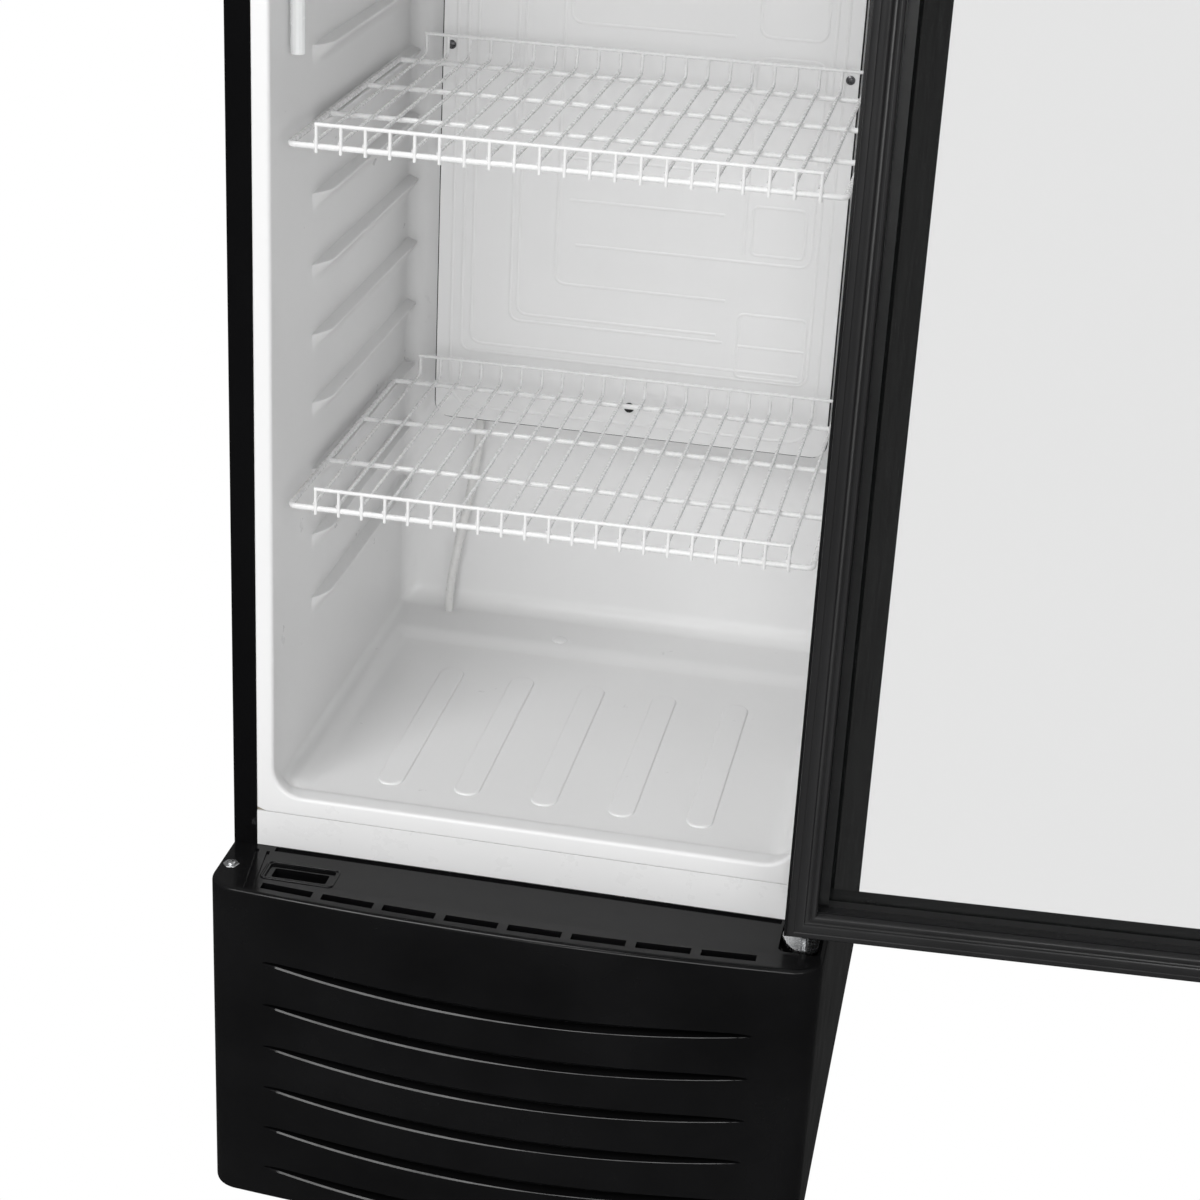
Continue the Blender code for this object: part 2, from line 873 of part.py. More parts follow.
duct = prism(rounded_rect(-DUCT_X, DUCT_X, DUCT_Z0, DUCT_Z1, 14.0), "y", DUCT_Y, LINER_BACK - G)
duct = cut(
    duct,
    prism(rounded_rect(-DUCT_X + 2, DUCT_X - 2, DUCT_Z0 + 2, DUCT_Z1 - 2, 12.0), "y", DUCT_Y + 2, DEPTH),
    cyl("y", 0, FAN_Z, 60.0, DUCT_Y - 5, DUCT_Y + 5, 24),
    joined(
        cyl("y", 0, 755.0, 4.2, DUCT_Y - 5, DUCT_Y + 5, 10),
        cyl("y", -215.5, 1145.0, 2.6, DUCT_Y - 5, DUCT_Y + 5, 10),
        cyl("y", 215.5, 1145.0, 2.6, DUCT_Y - 5, DUCT_Y + 5, 10),
        cyl("z", -176.0, 492.0, 7.0, DUCT_Z0 - 5, DUCT_Z0 + 5, 12),
        box(-150, 150, DUCT_Y + 8, DUCT_Y + 24, DUCT_Z0 - 5, DUCT_Z0 + 5),
    ),
)
piece("duct_cover", duct, "white_steel")
for name, x in (("duct_screw_left", -215.5), ("duct_screw_right", 215.5)):
    piece(
        name,
        lathe(
            "y",
            x,
            1145.0,
            [
                (2.2, DUCT_Y + 12.0),
                (2.2, DUCT_Y - G),
                (4.8, DUCT_Y - G),
                (4.8, DUCT_Y - 1.2),
                (3.2, DUCT_Y - 2.8),
            ],
            12,
        ),
        "steel",
    )
piece(
    "duct_stud",
    lathe(
        "y",
        0.0,
        755.0,
        [(3.8, DUCT_Y + 3.4), (3.8, DUCT_Y - G), (6.0, DUCT_Y - G), (5.0, DUCT_Y - 3.0)],
        12,
    ),
    "rubber",
)
evap = comb(-180, 180, 476.0, 509.0, 1200.0, 1540.0, 12, 6.0)
piece("evaporator_coil", evap, "aluminium")
piece(
    "evap_fan_motor",
    union(
        cyl("y", 0, FAN_Z, 22.0, 494.0, 511.0, 16),
        box(-70, 70, 505.0, 511.0, FAN_Z - 7, FAN_Z + 7),
    ),
    "black_plastic",
)
piece(
    "evap_fan_blade",
    fan_blade(0.0, 484.0, FAN_Z, 54.0, 17.0, 16.0, 18.0, 5, 26.0),
    "black_plastic",
    (0, 484.0, FAN_Z),
)
guard = ring("y", 0, FAN_Z, 60.5, 64.5, DUCT_Y - 5.0, DUCT_Y - G, 20)
guard = union(
    guard,
    box(-62, 62, DUCT_Y - 4.6, DUCT_Y - 2.0, FAN_Z - 1.5, FAN_Z + 1.5),
    box(-1.5, 1.5, DUCT_Y - 4.6, DUCT_Y - 2.0, FAN_Z - 62, FAN_Z + 62),
    ring("y", 0, FAN_Z, 38.0, 41.0, DUCT_Y - 4.6, DUCT_Y - 2.0, 16),
    ring("y", 0, FAN_Z, 16.0, 19.0, DUCT_Y - 4.6, DUCT_Y - 2.0, 12),
)
piece("evap_fan_guard", guard, "white_wire")
tray = cut(
    box(-190, 190, 474.0, 510.0, 726.0, 752.0),
    box(-188, 188, 476.0, 508.0, 728.0, 760.0),
    cyl("z", -176.0, 492.0, 5.6, 720.0, 740.0, 12),
)
piece("drip_tray", tray, "white_plastic")
piece(
    "drain_tube",
    tube(
        [
            (-176, 492, 727.5),
            (-176, 492, 712),
            (-177, 492, 690),
            (-181, 491, 650),
            (-189, 490, 600),
            (-198, 488, 550),
            (-204, 486.5, 510),
            (DRAIN_X, DRAIN_Y, 480),
            (DRAIN_X, DRAIN_Y, 440),
            (DRAIN_X, DRAIN_Y, 120),
        ],
        5.2,
        10,
    ),
    "tube",
)
piece(
    "drain_grommet",
    union(
        ring("z", DRAIN_X, DRAIN_Y, 5.7, 10.7, Z_FLOOR - 14, Z_FLOOR + 1.0, 16),
        ring("z", DRAIN_X, DRAIN_Y, 5.7, 14.0, Z_FLOOR + G, Z_FLOOR + 3.0, 16),
    ),
    "grey_rubber",
)

# ---- interior lamp, thermostat and switch

piece(
    "interior_lamp",
    cyl("z", -258.0, 55.0, 7.0, 1214.0, 1478.0, 14),
    "lamp",
)
TB = (116.0, 230.0, 40.0, 112.0, 1706.0, Z_CEIL - G)
piece("thermostat_box", box(*TB), "white_plastic")
piece(
    "thermostat_knob",
    union(
        cyl("y", 150.0, 1725.0, 13.0, TB[2] - 12.0, TB[2] - G, 20),
        box(148.5, 151.5, TB[2] - 15.0, TB[2] - 11.0, 1725.0, 1737.5),
    ),
    "white_plastic",
    (150.0, TB[2], 1725.0),
)
piece(
    "lamp_switch",
    prism(
        [
            (TB[2] - G - 2.0, 1714.0),
            (TB[2] - G - 4.5, 1714.0),
            (TB[2] - G - 2.4, 1725.0),
            (TB[2] - G - 4.5, 1736.0),
            (TB[2] - G - 2.0, 1736.0),
        ],
        "x",
        193.0,
        207.0,
    ),
    "black_plastic",
    (200.0, TB[2] - 2.3, 1725.0),
)

# ---- machine compartment

piece(
    "base_tray",
    prism(
        [
            (1.3, Z_BASE),
            (DEPTH - 3.0, Z_BASE),
            (DEPTH - 3.0, Z_BASE + 28),
            (DEPTH - 5.0, Z_BASE + 28),
            (DEPTH - 5.0, Z_BASE + 3),
            (3.3, Z_BASE + 3),
            (3.3, Z_BASE + 28),
            (1.3, Z_BASE + 28),
        ],
        "x",
        -IN_X,
        IN_X,
    ),
    "black_steel",
)
piece(
    "compressor",
    union(
        lathe(
            "z",
            150.0,
            400.0,
            [
                (60, 62),
                (84, 74),
                (90, 96),
                (90, 140),
                (88, 150),
                (88, 175),
                (78, 208),
                (52, 228),
                (20, 235),
            ],
            20,
        ),
        box(62, 238, 345, 455, 56.0, 70.0),
        cyl("z", 84.0, 360.0, 10.0, Z_BASE + 3 + G, 60.0, 10),
        cyl("z", 216.0, 360.0, 10.0, Z_BASE + 3 + G, 60.0, 10),
        cyl("z", 84.0, 440.0, 10.0, Z_BASE + 3 + G, 60.0, 10),
        cyl("z", 216.0, 440.0, 10.0, Z_BASE + 3 + G, 60.0, 10),
        box(225, 262, 375, 425, 100.0, 160.0),
    ),
    "black_steel",
)
condenser = comb(-235.0, 45.0, 20.0, 78.0, 62.0, 330.0, 14, 8.0)
piece("condenser_coil", condenser, "aluminium")
CFX, CFZ = -95.0, 200.0
shroud = cut(
    union(
        box(-235, 45, 80.0, 83.0, Z_BASE + 3 + G, 335.0),
        cyl("y", CFX, CFZ, 112.0, 80.0, 112.0, 28),
    ),
    cyl("y", CFX, CFZ, 108.0, 70.0, 130.0, 28),
)
piece("fan_shroud", shroud, "black_steel")
piece(
    "condenser_fan_blade",
    fan_blade(CFX, 98.0, CFZ, 101.0, 22.0, 22.0, 34.0, 5, 26.0),
    "aluminium",
    (CFX, 98.0, CFZ),
)
piece(
    "condenser_fan_motor",
    union(
        cyl("y", CFX, CFZ, 32.0, 113.5, 165.0, 18),
        box(CFX - 118, CFX + 118, 122.0, 126.0, CFZ - 8, CFZ + 8),
        box(CFX - 8, CFX + 8, 122.0, 126.0, Z_BASE + 3 + G, CFZ),
    ),
    "black_steel",
)
pan = cut(
    box(-290, 40, 300.0, 530.0, 60.0, 100.0),
    box(-287, 37, 303.0, 527.0, 63.0, 110.0),
)
piece("condensate_pan", pan, "black_plastic")
piece(
    "refrigerant_pipe",
    tube(
        [
            (120.0, 330.0, 215.0),
            (90.0, 290.0, 255.0),
            (60.0, 220.0, 270.0),
            (54.0, 150.0, 270.0),
            (52.0, 100.0, 270.0),
            (52.0, 60.0, 262.0),
        ],
        4.0,
        8,
    ),
    "copper",
)
rear = cut(
    box(-IN_X, IN_X, DEPTH - SHEET - G - 1.0, DEPTH - SHEET - G, Z_BASE + 30.0, 402.0 - G),
    joined(
        *[
            box(-250, 250, DEPTH - 10, DEPTH + 5, 100.0 + 24.0 * k, 108.0 + 24.0 * k)
            for k in range(11)
        ]
    ),
)
piece("rear_grille", rear, "black_steel")

# ---- feet and rear rollers

for name, s in (("foot_left", -1), ("foot_right", 1)):
    piece(
        name,
        lathe(
            "z",
            s * 275.0,
            40.0,
            [(17, 0), (19, 3), (19, 9), (8, 14), (6, 14.5), (6, Z_BASE - G)],
            16,
        ),
        "rubber",
        (s * 275.0, 40.0, 0),
    )
for name, s in (("left", -1), ("right", 1)):
    x = s * 270.0
    piece(
        f"roller_{name}",
        cyl("x", 500.0, 19.0, 19.0, x - 11, x + 11, 24),
        "rubber",
        (x, 500.0, 19.0),
    )
    fork = cut(
        box(x - 17, x + 17, 480.0, 520.0, 10.0, Z_BASE - G),
        box(x - 12, x + 12, 470.0, 530.0, 5.0, Z_BASE - 2.8),
    )
    piece(f"roller_fork_{name}", fork, "steel")

# ---------------------------------------------------------------- placing

low = Vector((1e9, 1e9, 1e9))
high = -low
for ob in PIECES:
    for v in ob.data.vertices:
        p = ob.location + v.co
        for k in range(3):
            low[k] = min(low[k], p[k])
            high[k] = max(high[k], p[k])
shift = Vector((-(low.x + high.x) / 2, -(low.y + high.y) / 2, -low.z))
for ob in PIECES:
    ob.location = ob.location + shift

# the door's pieces hang from an empty on the hinge pin's axis
pivot = bpy.data.objects.new("door_hinge_axis", None)
pivot.location = Vector((PIN_X, PIN_Y, DOOR_Z0)) * MM + shift
bpy.context.scene.collection.objects.link(pivot)
bpy.context.view_layer.update()
for ob in DOOR_PIECES:
    ob.parent = pivot
    ob.matrix_parent_inverse = pivot.matrix_world.inverted()
bpy.context.view_layer.update()
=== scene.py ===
import json
import math

import bmesh
import bpy
from mathutils import Matrix, Vector


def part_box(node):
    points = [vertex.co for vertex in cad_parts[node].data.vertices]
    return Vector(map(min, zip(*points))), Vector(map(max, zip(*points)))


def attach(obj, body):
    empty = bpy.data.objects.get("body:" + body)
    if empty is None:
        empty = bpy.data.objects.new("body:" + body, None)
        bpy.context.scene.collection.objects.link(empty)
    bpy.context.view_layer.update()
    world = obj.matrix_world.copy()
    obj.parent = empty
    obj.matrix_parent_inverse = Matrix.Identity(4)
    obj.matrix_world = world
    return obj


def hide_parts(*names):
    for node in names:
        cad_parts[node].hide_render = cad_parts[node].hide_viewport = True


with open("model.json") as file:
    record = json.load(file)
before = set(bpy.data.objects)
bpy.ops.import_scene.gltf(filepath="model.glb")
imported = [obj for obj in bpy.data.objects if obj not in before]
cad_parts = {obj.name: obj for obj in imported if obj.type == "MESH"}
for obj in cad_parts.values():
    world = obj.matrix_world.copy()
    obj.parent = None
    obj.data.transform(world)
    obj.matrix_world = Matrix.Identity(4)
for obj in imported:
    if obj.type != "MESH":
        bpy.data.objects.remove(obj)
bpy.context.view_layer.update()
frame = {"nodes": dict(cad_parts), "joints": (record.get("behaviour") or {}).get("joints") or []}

MM = 0.001
lo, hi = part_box("top_panel")
OX, OY = (lo.x + hi.x) / 2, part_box("side_panel_left")[0].y
swing = [j for j in frame["joints"] if j["name"] == "door_swing"][0]
PIN = Vector(swing["pos_m"])
OPEN = -math.radians(swing["range_deg"][0])
PIN_X, PIN_Y = (PIN.x - OX) / MM, (PIN.y - OY) / MM


def W(x, y, z):
    """Cabinet millimetres to the row frame in metres."""
    return Vector((OX + x * MM, OY + y * MM, z * MM))


def mm(node):
    """A CAD node's box in cabinet millimetres."""
    a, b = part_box(node)
    return (
        (a.x - OX) / MM,
        (b.x - OX) / MM,
        (a.y - OY) / MM,
        (b.y - OY) / MM,
        a.z / MM,
        b.z / MM,
    )


def smooth(t):
    t = min(1.0, max(0.0, t))
    return t * t * (3 - 2 * t)


# ------------------------------------------------------------------ camera

scene = bpy.context.scene
YAW, PITCH, ROLL, FOCAL = 0.172433, 0.423839, 0.053143, 2487.65
cam_data = bpy.data.cameras.new("camera")
cam = bpy.data.objects.new("camera", cam_data)
scene.collection.objects.link(cam)
cam_data.sensor_width = 36.0
cam_data.lens = 36.0 * FOCAL / 1200.0
cam_data.shift_x = (600.0 - 597.0) / 1200.0
cam_data.shift_y = (598.87 - 600.0) / 1200.0
cam_data.clip_end = 100.0
fwd = Vector(
    (
        -math.sin(YAW) * math.cos(PITCH),
        math.cos(YAW) * math.cos(PITCH),
        -math.sin(PITCH),
    )
)
right = Vector((math.cos(YAW), math.sin(YAW), 0))
up = right.cross(fwd)
right2 = math.cos(ROLL) * right + math.sin(ROLL) * up
up2 = -math.sin(ROLL) * right + math.cos(ROLL) * up
m = Matrix((right2, up2, -fwd)).transposed().to_4x4()
m.translation = W(429.75, -2141.26, 1710.58)
cam.matrix_world = m
scene.camera = cam

# --------------------------------------------------------------- materials


def material(
    name,
    color,
    rough,
    metallic=0.0,
    var=0.04,
    scale=6.0,
    rough_var=0.06,
    bump=0.04,
    bump_scale=500.0,
    dist=0.0002,
    wave=0.0,
    wave_scale=25.0,
    coat=0.0,
    ior=1.45,
    stretch=(1, 1, 1),
    transmission=0.0,
    emission=0.0,
    sub=0.0,
    smudge=0.0,
    alpha=1.0,
):
    """Principled material whose colour, roughness and bump come from noise in object space."""
    m = bpy.data.materials.new(name)
    m.use_nodes = True
    nt = m.node_tree
    n, link = nt.nodes, nt.links
    b = n["Principled BSDF"]
    b.inputs["Metallic"].default_value = metallic
    b.inputs["IOR"].default_value = ior
    b.inputs["Coat Weight"].default_value = coat
    b.inputs["Coat Roughness"].default_value = 0.04
    b.inputs["Transmission Weight"].default_value = transmission
    b.inputs["Alpha"].default_value = alpha
    if emission:
        b.inputs["Emission Color"].default_value = tuple(color) + (1,)
        b.inputs["Emission Strength"].default_value = emission
    if sub:
        b.inputs["Subsurface Weight"].default_value = sub
        b.inputs["Subsurface Radius"].default_value = (0.006, 0.006, 0.006)
    tc = n.new("ShaderNodeTexCoord")
    mp = n.new("ShaderNodeMapping")
    mp.inputs["Scale"].default_value = stretch
    link.new(tc.outputs["Object"], mp.inputs["Vector"])
    big = n.new("ShaderNodeTexNoise")
    big.inputs["Scale"].default_value = scale
    big.inputs["Detail"].default_value = 5.0
    link.new(mp.outputs["Vector"], big.inputs["Vector"])
    ramp = n.new("ShaderNodeValToRGB")
    ramp.color_ramp.elements[0].position = 0.3
    ramp.color_ramp.elements[1].position = 0.7
    dark = [max(0.0, c * (1 - var)) for c in color]
    light = [min(1.0, c * (1 + var)) for c in color]
    ramp.color_ramp.elements[0].color = dark + [1]
    ramp.color_ramp.elements[1].color = light + [1]
    link.new(big.outputs["Fac"], ramp.inputs["Fac"])
    link.new(ramp.outputs["Color"], b.inputs["Base Color"])
    mid = n.new("ShaderNodeTexNoise")
    mid.inputs["Scale"].default_value = scale * 5.3
    mid.inputs["Detail"].default_value = 7.0
    mid.inputs["Roughness"].default_value = 0.62
    link.new(mp.outputs["Vector"], mid.inputs["Vector"])
    rr = n.new("ShaderNodeMapRange")
    rr.inputs["From Min"].default_value = 0.3
    rr.inputs["From Max"].default_value = 0.75
    rr.inputs["To Min"].default_value = max(0.0, rough - rough_var)
    rr.inputs["To Max"].default_value = min(1.0, rough + rough_var + smudge)
    link.new(mid.outputs["Fac"], rr.inputs["Value"])
    link.new(rr.outputs["Result"], b.inputs["Roughness"])
    fine = n.new("ShaderNodeTexNoise")
    fine.inputs["Scale"].default_value = bump_scale
    fine.inputs["Detail"].default_value = 3.0
    link.new(mp.outputs["Vector"], fine.inputs["Vector"])
    bp = n.new("ShaderNodeBump")
    bp.inputs["Strength"].default_value = bump
    bp.inputs["Distance"].default_value = dist
    link.new(fine.outputs["Fac"], bp.inputs["Height"])
    if wave:
        low = n.new("ShaderNodeTexNoise")
        low.inputs["Scale"].default_value = wave_scale
        low.inputs["Detail"].default_value = 2.0
        link.new(mp.outputs["Vector"], low.inputs["Vector"])
        bq = n.new("ShaderNodeBump")
        bq.inputs["Strength"].default_value = wave
        bq.inputs["Distance"].default_value = 0.001
        link.new(low.outputs["Fac"], bq.inputs["Height"])
        link.new(bp.outputs["Normal"], bq.inputs["Normal"])
        link.new(bq.outputs["Normal"], b.inputs["Normal"])
    else:
        link.new(bp.outputs["Normal"], b.inputs["Normal"])
    return m


M = {
    "black_steel": material(
        "gloss_black_enamel", (0.0035, 0.0035, 0.0038), 0.12, var=0.2, scale=3, bump=0.08, bump_scale=900, wave=0.02, wave_scale=18, ior=1.3, smudge=0.05
    ),
    "black_plastic": material(
        "gloss_black_moulding", (0.006, 0.006, 0.0063), 0.14, var=0.3, scale=7, rough_var=0.05, bump=0.1, bump_scale=260, dist=0.0003, wave=0.14, wave_scale=26, ior=1.3, smudge=0.08
    ),
    "door_black": material(
        "door_black_extrusion", (0.009, 0.009, 0.0095), 0.2, var=0.2, scale=4, bump=0.06, bump_scale=700, stretch=(1, 1, 0.15), ior=1.42, smudge=0.06
    ),
    "gasket": material(
        "gasket_vinyl", (0.02, 0.02, 0.0205), 0.34, var=0.2, scale=8, bump=0.12, bump_scale=900, stretch=(1, 1, 0.3), ior=1.45
    ),
    "black_rubber": material("black_rubber", (0.012, 0.012, 0.012), 0.6, var=0.3, scale=20, bump=0.3, bump_scale=1200),
    "liner": material(
        "liner_plastic", (0.81, 0.81, 0.81), 0.32, var=0.012, scale=4, rough_var=0.05, bump=0.05, bump_scale=380, wave=0.03, wave_scale=14
    ),
    "white_steel": material(
        "white_painted_steel", (0.82, 0.82, 0.82), 0.3, var=0.012, scale=5, bump=0.1, bump_scale=800, wave=0.02, wave_scale=12
    ),
    "panel": material(
        "duct_cover_plastic", (0.81, 0.81, 0.81), 0.34, var=0.012, scale=5, bump=0.05, bump_scale=400, wave=0.03, wave_scale=12
    ),
    "wire": material("coated_wire", (0.80, 0.80, 0.80), 0.28, var=0.03, scale=40, bump=0.25, bump_scale=900, coat=0.2),
    "foam": material("insulating_foam", (0.34, 0.31, 0.25), 0.95, var=0.15, scale=30, bump=0.8, bump_scale=900, dist=0.0006),
    "zinc": material("zinc_plate", (0.74, 0.75, 0.76), 0.28, metallic=1.0, var=0.08, scale=60, rough_var=0.1, bump=0.15, bump_scale=1500),
    "dark_steel": material("blackened_steel", (0.13, 0.13, 0.135), 0.3, metallic=1.0, var=0.2, scale=80, rough_var=0.1, bump=0.2, bump_scale=1500),
    "aluminium": material("aluminium_fins", (0.72, 0.73, 0.74), 0.38, metallic=1.0, var=0.08, scale=40, rough_var=0.12, bump=0.2, bump_scale=900, stretch=(1, 1, 0.1)),
    "copper": material("copper_pipe", (0.62, 0.27, 0.15), 0.3, metallic=1.0, var=0.2, scale=40, rough_var=0.12, bump=0.1, bump_scale=900),
    "hose": material("drain_hose_vinyl", (0.72, 0.72, 0.71), 0.3, var=0.06, scale=30, bump=0.1, bump_scale=500, sub=0.3),
    "grommet": material("grommet_rubber", (0.5, 0.5, 0.49), 0.5, var=0.08, scale=60, bump=0.3, bump_scale=1200),
    "lamp": material("lamp_diffuser", (0.80, 0.81, 0.81), 0.25, var=0.02, scale=30, bump=0.04, bump_scale=500, emission=0.03, sub=0.3),
    "sign": material("sign_acrylic", (0.60, 0.61, 0.62), 0.2, var=0.03, scale=4, bump=0.02, bump_scale=400, emission=0.04, coat=0.3),
    "white_plastic": material("white_moulding", (0.78, 0.78, 0.78), 0.36, var=0.02, scale=20, bump=0.1, bump_scale=700),
    "machine_black": material("machine_black_paint", (0.018, 0.018, 0.019), 0.45, var=0.3, scale=15, bump=0.25, bump_scale=900),
}
glass = material("clear_glass", (0.02, 0.022, 0.021), 0.02, var=0.1, scale=3, rough_var=0.008, bump=0.0, bump_scale=50, ior=1.9, alpha=0.062)
M["glass"] = glass


# ----------------------------------------------------------------- helpers


def rotz(p):
    """A point of the closed door, turned to where the door stands."""
    dx, dy = p[0] - PIN_X, p[1] - PIN_Y
    c, s = math.cos(OPEN), math.sin(OPEN)
    return (PIN_X + c * dx - s * dy, PIN_Y + s * dx + c * dy, p[2])


def make(name, verts, faces, mat, body, replaces=(), on_door=False, angle=35, slot=None, bevel=None):
    me = bpy.data.meshes.new(name)
    pts = [W(*(rotz(v) if on_door else v)) for v in verts]
    me.from_pydata(pts, [], faces)
    bm = bmesh.new()
    bm.from_mesh(me)
    bmesh.ops.remove_doubles(bm, verts=bm.verts, dist=2e-6)
    bmesh.ops.dissolve_degenerate(bm, dist=1e-7, edges=bm.edges)
    bmesh.ops.recalc_face_normals(bm, faces=bm.faces)
    bm.to_mesh(me)
    bm.free()
    me.polygons.foreach_set("use_smooth", [True] * len(me.polygons))
    me.set_sharp_from_angle(angle=math.radians(angle))
    ob = bpy.data.objects.new(name, me)
    scene.collection.objects.link(ob)
    me.materials.append(M[mat] if isinstance(mat, str) else mat)
    if bevel:
        add_bevel(ob, bevel)
    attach(ob, body)
    if replaces:
        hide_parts(*replaces)
    return ob


def add_bevel(ob, width, segments=2, limit=30):
    md = ob.modifiers.new("edge", "BEVEL")
    md.width = width * MM
    md.segments = segments
    md.limit_method = "ANGLE"
    md.angle_limit = math.radians(limit)
    md.harden_normals = True
    md.use_clamp_overlap = True


class Bag:
    """Vertices and faces collected from several shapes."""

    def __init__(self):
        self.v, self.f = [], []

    def add(self, v, f):
        k = len(self.v)
        self.v += v
        self.f += [tuple(i + k for i in q) for q in f]
        return self


def sweep(path, r, n=10, closed=False):
    """Round wire along a path."""
    pts = [Vector(p) for p in path]
    rings, upv = [], None
    count = len(pts)
    for i, p in enumerate(pts):
        if closed:
            a, b = pts[(i - 1) % count], pts[(i + 1) % count]
        else:
            a, b = pts[max(i - 1, 0)], pts[min(i + 1, count - 1)]
        t = (b - a).normalized()
        if upv is None:
            upv = Vector((0, 0, 1)) if abs(t.z) < 0.9 else Vector((0, 1, 0))
        u = (upv - t * upv.dot(t)).normalized()
        upv = u
        w = t.cross(u)
        rings.append(
            [
                tuple(p + u * r * math.cos(2 * math.pi * k / n) + w * r * math.sin(2 * math.pi * k / n))
                for k in range(n)
            ]
        )
    v = [q for ring in rings for q in ring]
    f = []
    last = count if closed else count - 1
    for j in range(last):
        for k in range(n):
            a, b = j * n + k, j * n + (k + 1) % n
            c, d = ((j + 1) % count) * n + (k + 1) % n, ((j + 1) % count) * n + k
            f.append((a, b, c, d))
    if not closed:
        f.append(tuple(range(n)))
        f.append(tuple(range(len(v) - 1, len(v) - n - 1, -1)))
    return v, f


def fillet(path, r, n=5, closed=False):
    """Rounds the corners of a path."""
    pts = [Vector(p) for p in path]
    out = []
    count = len(pts)
    for i, p in enumerate(pts):
        if not closed and i in (0, count - 1):
            out.append(tuple(p))
            continue
        a, b = pts[(i - 1) % count], pts[(i + 1) % count]
        d1, d2 = (a - p), (b - p)
        k = min(r, d1.length * 0.49, d2.length * 0.49)
        s, e = p + d1.normalized() * k, p + d2.normalized() * k
        for j in range(n + 1):
            t = j / n
            out.append(tuple((1 - t) ** 2 * s + 2 * t * (1 - t) * p + t * t * e))
    return out


def ring_profile(section, x0, x1, z0, z1):
    """A closed section of (inset, y) carried round a rectangle with mitred corners."""
    v, f = [], []
    n = len(section)
    for cx, cz, sx, sz in ((x0, z0, 1, 1), (x1, z0, -1, 1), (x1, z1, -1, -1), (x0, z1, 1, -1)):
        v += [(cx + sx * a, y, cz + sz * a) for a, y in section]
    for k in range(4):
        for i in range(n):
            j, q = (i + 1) % n, (k + 1) % 4
            f.append((k * n + i, k * n + j, q * n + j, q * n + i))
    return v, f


def lathe(axis, cu, cv, profile, n=32, caps=True):
    v, f = [], []
    for r, w in profile:
        for k in range(n):
            a = 2 * math.pi * k / n
            u, q = cu + r * math.cos(a), cv + r * math.sin(a)
            v.append({"x": (w, u, q), "y": (u, w, q), "z": (u, q, w)}[axis])
    for j in range(len(profile) - 1):
        for k in range(n):
            m2 = (k + 1) % n
            f.append((j * n + k, j * n + m2, (j + 1) * n + m2, (j + 1) * n + k))
    if caps:
        f.append(tuple(range(n)))
        f.append(tuple(range(len(v) - 1, len(v) - n - 1, -1)))
    return v, f


def prism(poly, axis, a, b):
    n = len(poly)
    put = {"x": lambda p, w: (w, p[0], p[1]), "y": lambda p, w: (p[0], w, p[1]), "z": lambda p, w: (p[0], p[1], w)}[axis]
    v = [put(p, a) for p in poly] + [put(p, b) for p in poly]
    f = [tuple(range(n)), tuple(range(2 * n - 1, n - 1, -1))]
    f += [(i, (i + 1) % n, (i + 1) % n + n, i + n) for i in range(n)]
    return v, f


def box(x0, x1, y0, y1, z0, z1):
    return prism([(x0, y0), (x1, y0), (x1, y1), (x0, y1)], "z", z0, z1)


def rounded(x0, x1, z0, z1, r, n=6):
    pts = []
    for cx, cz, a0 in ((x1 - r, z0 + r, -90), (x1 - r, z1 - r, 0), (x0 + r, z1 - r, 90), (x0 + r, z0 + r, 180)):
        for k in range(n + 1):
            a = math.radians(a0 + 90 * k / n)
            pts.append((cx + r * math.cos(a), cz + r * math.sin(a)))
    return pts


def cutting(v, f, cutters):
    """Exact Boolean difference, in cabinet millimetres; returns plain vertices and faces."""
    obs = []
    for k, (vv, ff) in enumerate([(v, f)] + cutters):
        me = bpy.data.meshes.new(f"tmp{k}")
        me.from_pydata(vv, [], ff)
        bm = bmesh.new()
        bm.from_mesh(me)
        bmesh.ops.recalc_face_normals(bm, faces=bm.faces)
        bm.to_mesh(me)
        bm.free()
        ob = bpy.data.objects.new(f"tmp{k}", me)
        scene.collection.objects.link(ob)
        obs.append(ob)
    for o in obs[1:]:
        md = obs[0].modifiers.new("b", "BOOLEAN")
        md.operation = "DIFFERENCE"
        md.solver = "EXACT"
        md.object = o
    dg = bpy.context.evaluated_depsgraph_get()
    dg.update()
    me = bpy.data.meshes.new_from_object(obs[0].evaluated_get(dg))
    vs = [tuple(p.co) for p in me.vertices]
    fs = [tuple(p.vertices) for p in me.polygons]
    for o in obs:
        old = o.data
        bpy.data.objects.remove(o, do_unlink=True)
        bpy.data.meshes.remove(old)
    bpy.data.meshes.remove(me)
    return vs, fs


# ------------------------------------------------------------- inner liner

LX0, LX1, LY0, LY1, LZ0, LZ1 = mm("inner_liner")
WALL = 267.6
FLOOR = 463.0
CEIL = 1745.0
BACK = 512.0
LEDGE_Z0, LEDGE_PITCH, LEDGE_N, LEDGE_W = 630.2, 71.9, 14, 13.6


def taper(y):
    """How far a ledge stands out along its length: pointed curved front, square rear."""
    if y < 131 or y > 498:
        return 0.0
    t = min(1.0, (y - 131) / 38.0)
    return math.sin(math.pi / 2 * t) ** 0.9 * (1.0 if y < 488 else (498 - y) / 10.0)


